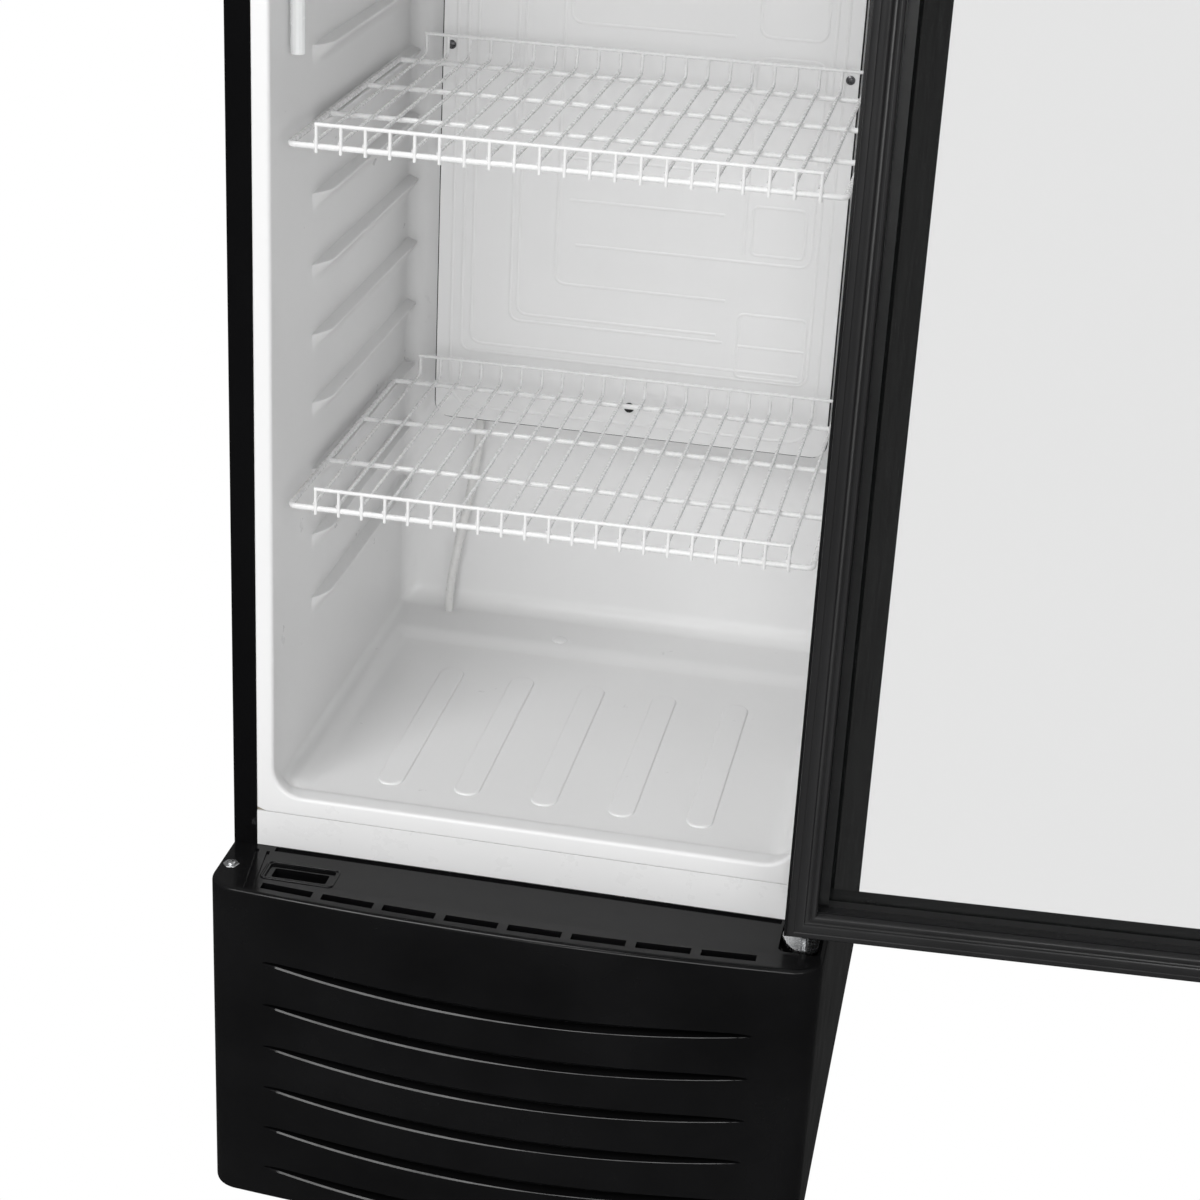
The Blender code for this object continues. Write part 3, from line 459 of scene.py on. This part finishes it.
LEDGE_ROWS = [
    (3.0, 0.0),
    (0.9, 0.0),
    (0.35, 0.1),
    (0.0, 0.86),
    (-0.5, 0.97),
    (-1.6, 1.0),
    (-3.2, 0.97),
    (-6.0, 0.82),
    (-10.0, 0.55),
    (-14.5, 0.27),
    (-19.0, 0.07),
    (-23.0, 0.0),
    (-30.0, 0.0),
]
rows = []  # (z, share of the ledge's reach), from the bottom up
for k in range(LEDGE_N):
    for dz, share in reversed(LEDGE_ROWS):
        rows.append((LEDGE_Z0 + LEDGE_PITCH * k + dz, share))
rows = [(510.0, 0.0), (550.0, 0.0), (580.0, 0.0)] + rows + [(1620.0, 0.0), (1690.0, 0.0)]

stations = [0.0, 0.3, 0.9, 1.7, 2.7, 4.0, 6.0, 10, 15, 20, 22, 24, 26, 28, 34, 40, 50, 70, 100, 127, 131, 133, 136, 140, 145, 150, 156, 163, 170, 185]
stations += [210, 240, 270, 300, 330, 360, 390, 404, 408, 414, 420, 426, 432, 436, 445, 460, 475, 486, 489, 491]
CORNER = 22.0
arc = [BACK - CORNER * (1 - math.sin(math.pi / 2 * k / 8)) for k in range(1, 9)]


def inset_at(y):
    if y <= BACK - CORNER:
        return 0.0
    t = (y - (BACK - CORNER)) / CORNER
    return CORNER * (1 - math.sqrt(max(0.0, 1 - t * t)))


def floor_z(x, y):
    front = 1 - smooth((y - 20) / 6)
    side = smooth((abs(x) - 237) / 20) * smooth((y - 4) / 40)
    back = smooth((y - 404) / 30)
    return FLOOR + max(2.6 * front, 6.0 * side, 6.0 * back)


def liner_loop(y):
    e = 4.0 - math.sqrt(max(0.0, 16.0 - (4.0 - y) ** 2)) if y < 4 else 0.0
    ins = inset_at(y) - e
    r = max(9.0, 30.0 - 21.0 * smooth((y - 2) / 45.0)) + max(0.0, -ins)
    wall = WALL - ins
    base = floor_z(wall - r, y) + ins
    top = CEIL - ins
    w = LEDGE_W * taper(y)
    pts = []
    for z, share in reversed(rows):
        pts.append((-wall + w * share, y, z))
    for k in range(9):
        a = math.radians(180 + 90 * k / 8)
        pts.append((-wall + r + r * math.cos(a), y, base + r + r * math.sin(a)))
    inner = wall - r
    xs = [inner - (inner - 228) * (k / 9) for k in range(1, 10)] if inner > 229 else [228]
    xs = xs + [200, 150, 100, 50]
    full = [-x for x in xs] + [0] + xs[::-1]
    if inner <= 229:
        full = [-228 + 0.01 * k for k in range(8)] + full + [228 - 0.01 * (7 - k) for k in range(8)]
    for x in full:
        pts.append((x, y, floor_z(x, y) + ins))
    for k in range(9):
        a = math.radians(270 + 90 * k / 8)
        pts.append((wall - r + r * math.cos(a), y, base + r + r * math.sin(a)))
    for z, share in rows:
        pts.append((wall - w * share, y, z))
    for k in range(9):
        a = math.radians(90 * k / 8)
        pts.append((wall - r + r * math.cos(a), y, top - r + r * math.sin(a)))
    for x in (150, 50, -50, -150):
        pts.append((x, y, top))
    for k in range(9):
        a = math.radians(90 + 90 * k / 8)
        pts.append((-wall + r + r * math.cos(a), y, top - r + r * math.sin(a)))
    return pts


loops = [liner_loop(y) for y in stations + arc]
size = len(loops[0])
assert all(len(l) == size for l in loops), [len(l) for l in loops]
bag = Bag()
v = [p for l in loops for p in l]
f = []
for j in range(len(loops) - 1):
    for i in range(size):
        k = (i + 1) % size
        f.append((j * size + i, j * size + k, (j + 1) * size + k, (j + 1) * size + i))
f.append(tuple(range((len(loops) - 1) * size, len(loops) * size)))
# flange: from the mouth's first loop out to a rectangle, then back over its edge
FX, FZ0, FZ1 = 285.2, 446.0, 1775.0


def to_rect(p, grow=0.0):
    x, z = p[0], p[2]
    xr, z0, z1 = FX - grow, FZ0 + grow, FZ1 - grow
    if z > 500 and z < 1700:
        return (xr if x > 0 else -xr, z)
    if z <= 500:
        dx, dz = abs(x), FLOOR + 34 - z
        if dz <= 0:
            return (math.copysign(xr, x), max(z0, z))
        t = dx / (WALL + 4)
        if dx > WALL - 27:
            a = math.atan2(z - (FLOOR + 30), dx - (WALL - 30))  # about the corner's centre
            s = -a / (math.pi / 2)
            if s < 0.5:
                return (math.copysign(xr, x), FLOOR + 30 - (FLOOR + 30 - z0) * (s / 0.5))
            return (math.copysign(xr - (xr - (WALL - 30)) * ((s - 0.5) / 0.5), x), z0)
        return (x, z0)
    dx = abs(x)
    if dx > WALL - 27:
        a = math.atan2(z - (CEIL - 30), dx - (WALL - 30))
        s = a / (math.pi / 2)
        if s < 0.5:
            return (math.copysign(xr, x), CEIL - 30 + (z1 - CEIL + 30) * (s / 0.5))
        return (math.copysign(xr - (xr - (WALL - 30)) * ((s - 0.5) / 0.5), x), z1)
    return (x, z1)


base = len(v)
first = loops[0]
edge0 = [to_rect(p, 0.8) for p in first]
edge1 = [to_rect(p, 0.0) for p in first]
v += [(x, 0.0, z) for x, z in edge0]
v += [(x, 0.7, z) for x, z in edge1]
v += [(x, 2.0, z) for x, z in edge1]
for i in range(size):
    k = (i + 1) % size
    f.append((k, i, base + i, base + k))
    f.append((base + k, base + i, base + size + i, base + size + k))
    f.append((base + size + k, base + size + i, base + 2 * size + i, base + 2 * size + k))
bag.add(v, f)


def pad(cx, y0, y1, half, z, height, n=10):
    """Raised floor rib with rounded ends and soft shoulders."""
    vv, ff = [], []
    levels = [(0.0, -0.6), (0.3, 0.35), (1.0, 0.8), (2.0, 0.97), (3.2, 1.0)]
    for ins, share in levels:
        r = half - ins
        for cy, a0 in ((y0 + half, 180), (y1 - half, 0)):
            for k in range(n + 1):
                a = math.radians(a0 + 180 * k / n)
                vv.append((cx + r * math.cos(a), cy + r * math.sin(a), z + height * share))
    m2 = 2 * (n + 1)
    for j in range(len(levels) - 1):
        for i in range(m2):
            k = (i + 1) % m2
            ff.append((j * m2 + i, j * m2 + k, (j + 1) * m2 + k, (j + 1) * m2 + i))
    ff.append(tuple(range((len(levels) - 1) * m2, len(levels) * m2)))
    ff.append(tuple(range(m2 - 1, -1, -1)))
    return vv, ff


for x in (-163.0, -81.5, 0.0, 81.5, 163.0):
    bag.add(*pad(x, 58.0, 344.0, 14.0, FLOOR, 2.0))
bag.add(*lathe("z", -61.5, 442.0, [(9.0, FLOOR + 5.5), (8.6, FLOOR + 6.8), (7.0, FLOOR + 7.8), (3.0, FLOOR + 8.2)], 20))
make("liner_skin", bag.v, bag.f, "liner", "cabinet", ("inner_liner",), angle=28)

# ------------------------------------------------------ duct cover embossing

PY = mm("duct_cover")[2]


def bead(path, r=2.0, rise=0.75, corner=14.0, closed=False, n=6):
    """Low rounded moulding line on the duct cover."""
    pts = fillet([(x, PY, z) for x, z in path], corner, 6, closed)
    vv, ff = sweep(pts, r, 8, closed)
    return [(x, PY + 0.15 - max(0.0, PY - y) * rise / r if y < PY else PY + 0.4, z) for x, y, z in vv], ff


bag = Bag()
TOP = 1690.0
lines = [
    [(-209, TOP), (-209, 752), (-190, 735), (190, 735), (209, 752), (209, TOP)],
    [(-197, TOP), (-197, 802), (197, 802), (197, TOP)],
    [(-186, TOP), (-186, 812), (186, 812)],
    [(-142, 1420), (-142, 843), (100, 843)],
    [(-134, 1410), (-134, 851), (92, 851)],
    [(-92, 1380), (-92, 891), (100, 891)],
    [(-70, 937), (108, 937), (190, 937), (190, 1160), (116, 1160), (116, 945)],
    [(-79, 987), (93, 987)],
    [(-85, 1230), (-85, 1180), (92, 1180)],
    [(-85, 1034), (90, 1034)],
    [(117, 1400), (117, 1182), (188, 1182), (188, 1400)],
    [(-80, 1290), (92, 1290)],
    [(-80, 1400), (92, 1400)],
]
for path in lines:
    bag.add(*bead(path))
for path in ([(116, 878), (192, 878), (192, 802 + 3), (116, 802 + 3)], [(124, 1000), (182, 1000), (182, 946), (124, 946)]):
    bag.add(*bead(path, closed=True, corner=7))
bag.add(*bead([(116, 841), (192, 841)]))
make("duct_cover_mouldings", bag.v, bag.f, "panel", "cabinet", slot="duct_cover", angle=60)

DX0, DX1, DY0, DY1, DZ0, DZ1 = mm("duct_cover")
outline = rounded(DX0 - 0.6, DX1 + 0.6, DZ0 - 0.6, DZ1 + 0.6, 17.0)
# painted shade: a black rubber ring just behind the duct cover's edge stands in for the shadow in the gap between the
# cover and the back wall
gap_shade_path = [(x, PY + 3.2, z) for x, z in outline]
make("duct_cover_gap_shade_ring", *sweep(gap_shade_path, 1.25, 8, closed=True), "black_rubber", "cabinet", slot="duct_stud", angle=60)


def screw(cx, cz, y, r):
    """Pan head cross recess screw facing -y."""
    vv, ff = lathe("y", cx, cz, [(r, y), (r, y - 0.5), (r * 0.92, y - 1.3), (r * 0.7, y - 2.0), (r * 0.35, y - 2.4), (0.3, y - 2.5)], 28)
    a = box(cx - r * 0.62, cx + r * 0.62, y - 4, y - 1.3, cz - 0.55, cz + 0.55)
    b = box(cx - 0.55, cx + 0.55, y - 4, y - 1.3, cz - r * 0.62, cz + r * 0.62)
    return cutting(vv, ff, [a, b])


for name in ("duct_screw_left", "duct_screw_right"):
    x0, x1, y0, y1, z0, z1 = mm(name)
    vv, ff = screw((x0 + x1) / 2, (z0 + z1) / 2, PY - 0.3, 4.9)
    make(name + "_head", vv, ff, "dark_steel", "cabinet", (name,), angle=30)

# ----------------------------------------------------------------- shelves

WIRE_PITCH, WIRE_N = 23.3, 21
WR, RR = 1.75, 2.9


def shelf(node, body):
    x0, x1, y0, y1, z0, z1 = mm(node)
    top = z0 + 3.0 + 8.8  # plane that goods stand on
    zw = top - WR  # cross wires
    zr = zw - WR - RR + 0.5  # rails below them
    zr = max(zr, z0 + 3.0 + RR + 0.1)
    fr = y0 + 3.2
    bk = y1 - 1.9
    ft, bt = z0 + 3.0 + 25.5 - WR, z1 - WR
    b = Bag()
    # outer frame bent from one rod
    fx = x1 - 3.0
    frame_path = fillet([(-fx, fr + 0.6, zr), (fx, fr + 0.6, zr), (fx, y1 - 20.0, zr), (-fx, y1 - 20.0, zr)], 7.0, 5, True)
    b.add(*sweep(frame_path, RR, 12, True))
    for y in (154.0, 283.0):
        b.add(*sweep([(-fx + 1, y, zr), (fx - 1, y, zr)], RR * 0.95, 12))
    for i in range(WIRE_N):
        x = (i - (WIRE_N - 1) / 2) * WIRE_PITCH
        path = [(x, fr + 1.2, zw), (x, bk, zw), (x, bk, bt)]
        path = [path[0]] + [(x, y, zw) for y in (90.0, 220.0, 350.0)] + fillet(path[:], 9.0, 6)[1:]
        b.add(*sweep(path, WR, 10))
        # upright of the front lip, welded to the front of the rail
        xu = x + 2.1
        b.add(*sweep([(xu, fr - 1.3, z0 + 0.4), (xu, fr - 1.3, ft)], WR, 10))
    ex = (WIRE_N - 1) / 2 * WIRE_PITCH
    b.add(*sweep([(-ex - 0.6 + 1.2, fr - 1.3 + 0.4, ft), (ex + 2.9, fr - 1.3 + 0.4, ft)], WR * 1.15, 10))
    b.add(*sweep([(-ex - 1.6, bk, bt), (ex + 1.6, bk, bt)], WR * 1.1, 10))
    make("wire_" + node, b.v, b.f, "wire", body, (node,), angle=50)


shelf("shelf_lower", "shelf_1")
shelf("shelf_middle", "shelf_2")
shelf("shelf_upper", "shelf_3")

# ------------------------------------------------------------ front grille

GX0, GX1, GY0, GY1, GZ0, GZ1 = mm("front_grille")
GX = (GX1 - GX0) / 2
GR, GEND, GBOW = 30.0, -92.0, 13.0
GC = GX - GR
TIPS = (325.5, 275.2, 224.8, 174.4, 124.0, 73.6)
LHALF, SAG, LH = 250.0, 19.8, 13.0


def grille_columns():
    """Outline points with inward normals and the louvre parameter, from right rear round the front to left rear."""
    cols = []
    for y in (-0.3, -20, -45, -62):
        cols.append((GX, y, -1.0, 0.0, None))
    for k in range(1, 10):
        a = math.radians(-90 * k / 10)
        cols.append((GC + GR * math.cos(a), GEND + GR + GR * math.sin(a), -math.cos(a), -math.sin(a), None))
    xs = [GC, 270, 260, 254]
    n = 64
    xs += [LHALF * math.cos(math.pi * k / n) if k not in (0, n) else (LHALF if k == 0 else -LHALF) for k in range(n + 1)]
    xs += [-254, -260, -270, -GC]
    for x in xs:
        y = GEND - GBOW * (1 - (x / GC) ** 2)
        s = 2 * GBOW * x / GC**2
        ln = math.hypot(s, 1)
        cols.append((x, y, -s / ln, 1 / ln, x if abs(x) <= LHALF + 0.01 else None))
    for k in range(1, 10):
        a = math.radians(-90 - 90 * k / 10)
        cols.append((-GC + GR * math.cos(a), GEND + GR + GR * math.sin(a), -math.cos(a), -math.sin(a), None))
    for y in (-62, -45, -20, -0.3):
        cols.append((-GX, y, 1.0, 0.0, None))
    return cols


cols = grille_columns()
ROUND = 4.5
grows = []  # (kind, values) from the bottom up
for k in range(4):
    a = math.pi / 2 * k / 3
    grows.append(("flat", GZ0 + 2.5 * (1 - math.cos(a)), 2.5 * (1 - math.sin(a)), 0.0))
grows.append(("flat", GZ0 + 6, 0.0, 0.3))
for t in reversed(TIPS):
    grows.append(("louvre", t, "below", 4.0))
    grows.append(("louvre", t, "below", 1.6))
    grows.append(("louvre", t, "edge", 0.0))
    grows.append(("louvre", t, "edge", 1.0))
    for s in (0.0, 0.1, 0.22, 0.36, 0.5, 0.65, 0.8, 0.92, 1.0):
        grows.append(("louvre", t, "in", s))
    grows.append(("louvre", t, "above", 2.5))
    grows.append(("louvre", t, "above", 16.0))
grows.append(("flat", GZ1 - 40, 0.0, 0.0))
for k in range(7):
    a = math.pi / 2 * k / 6
    grows.append(("flat", GZ1 - ROUND + ROUND * math.sin(a), ROUND * (1 - math.cos(a)), 0.0))


def grille_point(col, row):
    x, y, nx, ny, lx = col
    if row[0] == "flat":
        return (x + nx * row[2], y + ny * row[2], row[1])
    t, kind, s = row[1], row[2], row[3]
    q = 1 - (lx / LHALF) ** 2 if lx is not None else 0.0
    q = max(q, 0.0)
    low = t - SAG * q
    h = LH * math.sqrt(q)
    d = 0.0
    if kind == "below":
        z = low - s
    elif kind == "edge":
        # the lip's chamfer is widest on the left and dies out to the right
        w = min(1.0, max(0.3, 1.0 - (lx + 60.0) / 150.0)) if lx is not None else 0.3
        z = low - 1.5 * w * (1.0 - s)
        d = 0.0 if s == 0 else 1.4 * w * min(1.0, q * 8)
    elif kind == "in":
        z = low + 0.05 + max(h * s, 0.15 * s)
        d = (13.0 * min(1.0, q * 6) ** 0.6) * (1 - s) ** 1.15
    else:
        z = low + h + s * (1.0 if q else 1.0)
    return (x + nx * d, y + ny * d, z)


bag = Bag()
v, f = [], []
for row in grows:
    for c in cols:
        v.append(grille_point(c, row))
n = len(cols)
for j in range(len(grows) - 1):
    for i in range(n - 1):
        f.append((j * n + i, j * n + i + 1, (j + 1) * n + i + 1, (j + 1) * n + i))
# inner face, so that the moulding has a thickness
inner0 = len(v)
for z in (GZ1 - 3.5, GZ0):
    for c in cols:
        off = 15.5 if c[4] is not None else 3.0
        v.append((c[0] + c[2] * off, c[1] + c[3] * off, z))
for i in range(n - 1):
    f.append((inner0 + i, inner0 + i + 1, inner0 + n + i + 1, inner0 + n + i))
    f.append((inner0 + n + i, inner0 + n + i + 1, i + 1, i))
bag.add(v, f)
make("grille_front", bag.v, bag.f, "black_plastic", "cabinet", ("front_grille",), angle=32)

top = [(c[0] + c[2] * ROUND, c[1] + c[3] * ROUND) for c in cols]
top[0] = (GX - ROUND, -0.3)
top[-1] = (-GX + ROUND, -0.3)
# the flat reaches the side edges only in front of the cabinet's corner
cut = []
for k in range(8):
    x = -255.7 + 64.0 * k
    y0 = GEND - GBOW * (1 - ((x + 27) / GC) ** 2)
    s = [(x, y0 + 11.5), (x + 54, y0 + 11.5), (x + 54, y0 + 22.5), (x, y0 + 22.5)]
    slope0 = -2 * GBOW * (x + 27) / GC**2 * -1
    s = [(px, py + (px - x - 27) * slope0) for px, py in s]
    cut.append(prism(s, "z", GZ1 - 12, GZ1 + 5))
cut.append(prism(rounded(-259, -190, -60, -33, 3.0, 4), "z", GZ1 - 2.2, GZ1 + 5))
cut.append(prism(rounded(-253, -196, -55, -38, 2.0, 4), "z", GZ1 - 14, GZ1 + 5))
cut.append(prism(rounded(264.5, 304, -59, -6, 6.0, 4), "z", GZ1 - 14, GZ1 + 5))
cut.append(prism([(-283.5, -9), (-280.0, -9), (-268.5, -87), (-272.0, -87)], "z", GZ1 - 2.0, GZ1 + 5))
cut.append(prism([(-271.5, -11), (-268.0, -11), (-259.3, -84), (-262.8, -84)], "z", GZ1 - 2.0, GZ1 + 5))
cut.append(box(-264, 262, -9.5, -1.2, GZ1 - 2.5, GZ1 + 5))
vv, ff = prism(top, "z", GZ1 - 15.0, GZ1)
vv, ff = cutting(vv, ff, cut)
make("grille_top", vv, ff, "black_plastic", "cabinet", slot="front_grille", angle=30, bevel=0.7)
# raised rim round the lock recess
rim = rounded(-262, -187, -63, -30.5, 4.5, 5)
make("grille_lock_rim", *sweep([(x, y, GZ1 + 0.0) for x, y in rim], 1.3, 8, True), "black_plastic", "cabinet", slot="front_grille", angle=60)

# -------------------------------------------------------------------- door

DZA = mm("door_rail_bottom")[4]
DZB = mm("door_rail_top")[5]
DXH = 308.0
gasket = [
    (3.0, -9.7),
    (3.0, -5.6),
    (3.6, -4.8),
    (5.6, -3.7),
    (7.8, -2.8),
    (9.4, -2.3),
    (10.2, -2.9),
    (11.0, -2.3),
    (17.4, -2.2),
    (18.5, -2.8),
    (18.9, -4.4),
    (20.0, -5.6),
    (22.6, -5.6),
    (23.8, -4.6),
    (24.2, -2.6),
    (25.0, -1.5),
    (26.4, -1.1),
    (28.0, -1.4),
    (29.3, -2.6),
    (29.9, -4.6),
    (30.0, -9.7),
]
vv, ff = ring_profile(gasket, -DXH, DXH, DZA, DZB)
make("gasket_profile", vv, ff, "gasket", "door", ("door_gasket",), on_door=True, angle=50)
gx0, gx1, gy0, gy1, gz0, gz1 = mm("hinge_leaf_bottom")

# ----------------------------------------------------------- other details

tube_box = mm("drain_tube")
dx, dy = -206.0, 486.0
path = [
    (-176, 492, 727),
    (-176, 492, 712),
    (-177, 492, 690),
    (-181, 491, 650),
    (-189, 490, 600),
    (-198, 488, 550),
    (-204, 486.5, 510),
    (dx, dy, 480),
    (dx, dy, 440),
    (dx, dy, 300),
    (dx, dy, 120),
]


def spline(points, per=6):
    """Catmull-Rom curve through points."""
    pts = [Vector(p) for p in points]
    out = []
    for i in range(len(pts) - 1):
        p0, p1, p2, p3 = pts[max(i - 1, 0)], pts[i], pts[i + 1], pts[min(i + 2, len(pts) - 1)]
        for k in range(per):
            t = k / per
            out.append(
                0.5
                * (
                    2 * p1
                    + (p2 - p0) * t
                    + (2 * p0 - 5 * p1 + 4 * p2 - p3) * t * t
                    + (3 * p1 - p0 - 3 * p2 + p3) * t**3
                )
            )
    out.append(pts[-1])
    return out


make("drain_hose", *sweep(spline(path), 5.2, 20), "hose", "cabinet", ("drain_tube",), angle=60)

# hexagon nut and domed screw end that fill the unused hinge hole
hexa = [(-298.5 + 8.4 * math.cos(math.radians(60 * k + 12)), -45.0 + 8.4 * math.sin(math.radians(60 * k + 12))) for k in range(6)]
plug = Bag()
plug.add(*prism(hexa, "z", 402.3, 406.2))
plug.add(*lathe("z", -298.5, -45.0, [(4.4, 396.3), (4.4, 406.0), (4.2, 407.2), (3.0, 408.2), (1.2, 408.5)], 24))
make("hinge_plug_nut", plug.v, plug.f, "zinc", "cabinet", ("hinge_hole_plug",), bevel=0.5)

MATS = {
    "black_steel": ["side_panel_left", "side_panel_right", "top_panel"],
    "machine_black": ["back_panel", "base_tray", "compressor", "condenser_fan_motor", "fan_shroud", "rear_grille", "evap_fan_motor", "evap_fan_blade", "condensate_pan"],
    "black_plastic": ["canopy_housing", "door_handle", "lamp_switch"],
    "door_black": ["door_stile_hinge", "door_stile_free", "door_rail_top", "door_rail_bottom"],
    "gasket": ["glass_edge_seal"],
    "black_rubber": ["foot_left", "foot_right", "roller_left", "roller_right", "duct_stud"],
    "white_steel": ["sill_strip"],
    "panel": ["duct_cover"],
    "white_plastic": ["thermostat_box", "thermostat_knob", "drip_tray", "door_bush_bottom", "door_bush_top"],
    "wire": ["evap_fan_guard"],
    "foam": ["foam_insulation"],
    "zinc": ["hinge_leaf_bottom", "hinge_leaf_top", "door_lock", "roller_fork_left", "roller_fork_right"],
    "aluminium": ["evaporator_coil", "condenser_coil", "condenser_fan_blade"],
    "copper": ["refrigerant_pipe"],
    "grommet": ["drain_grommet"],
    "lamp": ["interior_lamp", "canopy_lamp"],
    "sign": ["sign_panel"],
    "glass": ["door_glass_inner", "door_glass_outer"],
}
BEVELS = {
    "side_panel_left": 0.35,
    "side_panel_right": 0.35,
    "top_panel": 0.4,
    "canopy_housing": 2.0,
    "door_handle": 4.0,
    "door_stile_hinge": 0.8,
    "door_stile_free": 0.8,
    "door_rail_top": 0.8,
    "door_rail_bottom": 0.8,
    "sill_strip": 0.5,
    "duct_cover": 1.6,
    "thermostat_box": 3.0,
    "thermostat_knob": 1.0,
    "hinge_leaf_bottom": 0.6,
    "hinge_leaf_top": 0.6,
    "door_lock": 0.4,
    "compressor": 1.5,
    "condensate_pan": 1.2,
    "base_tray": 0.5,
    "interior_lamp": 1.5,
    "foot_left": 0.8,
    "foot_right": 0.8,
    "roller_left": 1.5,
    "roller_right": 1.5,
}
for mat, names in MATS.items():
    for name in names:
        ob = frame["nodes"][name]
        ob.data.materials.clear()
        ob.data.materials.append(M[mat])
        ob.data.polygons.foreach_set("use_smooth", [True] * len(ob.data.polygons))
        ob.data.set_sharp_from_angle(angle=math.radians(30))
        if name in BEVELS:
            add_bevel(ob, BEVELS[name])

# ------------------------------------------------------------------- stage

floor_me = bpy.data.meshes.new("floor")
S = 30.0
floor_me.from_pydata([(-S, -S, 0), (S, -S, 0), (S, S, 0), (-S, S, 0)], [], [(0, 1, 2, 3)])
floor = bpy.data.objects.new("floor", floor_me)
scene.collection.objects.link(floor)
fm = bpy.data.materials.new("studio_floor")
fm.use_nodes = True
fb = fm.node_tree.nodes["Principled BSDF"]
fb.inputs["Base Color"].default_value = (0.8, 0.8, 0.8, 1)
fb.inputs["Roughness"].default_value = 0.9
fb.inputs["Specular IOR Level"].default_value = 0.1
fb.inputs["Emission Color"].default_value = (1, 1, 1, 1)
fb.inputs["Emission Strength"].default_value = 0.04
# the floor's own mirror image in gloss black is kept dim, as a black card in front of a studio set does
fn, fl = fm.node_tree.nodes, fm.node_tree.links
dim = fn.new("ShaderNodeEmission")
dim.inputs["Color"].default_value = (1, 1, 1, 1)
dim.inputs["Strength"].default_value = 0.03
fmix = fn.new("ShaderNodeMixShader")
fpath = fn.new("ShaderNodeLightPath")
fl.new(fpath.outputs["Is Glossy Ray"], fmix.inputs["Fac"])
fl.new(fb.outputs["BSDF"], fmix.inputs[1])
fl.new(dim.outputs["Emission"], fmix.inputs[2])
# seen directly it is the same burnt-out white as the backdrop
card = fn.new("ShaderNodeEmission")
card.inputs["Color"].default_value = (1, 1, 1, 1)
card.inputs["Strength"].default_value = 1.0
fseen = fn.new("ShaderNodeMixShader")
fl.new(fpath.outputs["Is Camera Ray"], fseen.inputs["Fac"])
fl.new(fmix.outputs["Shader"], fseen.inputs[1])
fl.new(card.outputs["Emission"], fseen.inputs[2])
fl.new(fseen.outputs["Shader"], fn["Material Output"].inputs["Surface"])
floor_me.materials.append(fm)

world = bpy.data.worlds.new("studio")
scene.world = world
world.use_nodes = True
wn, wl = world.node_tree.nodes, world.node_tree.links
bg = wn["Background"]
bg.inputs["Color"].default_value = (1, 1, 1, 1)
lp = wn.new("ShaderNodeLightPath")
tc = wn.new("ShaderNodeTexCoord")
sep = wn.new("ShaderNodeSeparateXYZ")
wl.new(tc.outputs["Generated"], sep.inputs["Vector"])
sky = wn.new("ShaderNodeMapRange")
sky.inputs["From Min"].default_value = -0.1
sky.inputs["From Max"].default_value = 0.9
sky.inputs["To Min"].default_value = 0.07
sky.inputs["To Max"].default_value = 0.26
wl.new(sep.outputs["Z"], sky.inputs["Value"])
gl = wn.new("ShaderNodeMix")
gl.data_type = "FLOAT"
gl.inputs["A"].default_value = 0.48
wl.new(sky.outputs["Result"], gl.inputs["B"])
wl.new(lp.outputs["Is Glossy Ray"], gl.inputs["Factor"])
cm = wn.new("ShaderNodeMix")
cm.data_type = "FLOAT"
cm.inputs["B"].default_value = 1.0
wl.new(gl.outputs["Result"], cm.inputs["A"])
wl.new(lp.outputs["Is Camera Ray"], cm.inputs["Factor"])
wl.new(cm.outputs["Result"], bg.inputs["Strength"])


def area(name, pos, target, size, power, size_y=None):
    d = bpy.data.lights.new(name, "AREA")
    d.shape = "RECTANGLE"
    d.size = size
    d.size_y = size_y or size
    d.energy = power
    ob = bpy.data.objects.new(name, d)
    scene.collection.objects.link(ob)
    p, t = W(*pos), W(*target)
    ob.location = p
    ob.rotation_euler = (t - p).to_track_quat("-Z", "Y").to_euler()
    return ob


area("key", (-2100, -4900, 6200), (0, 150, 700), 2.6, 220.0)
area("edge", (-2050, -2500, 5300), (-100, 0, 300), 0.6, 12.0)
area("front", (500, -8000, 1700), (0, 200, 800), 3.0, 166.0)
area("fill", (4200, -6200, 3000), (0, 200, 800), 3.0, 62.0)

scene.view_settings.view_transform = "Standard"
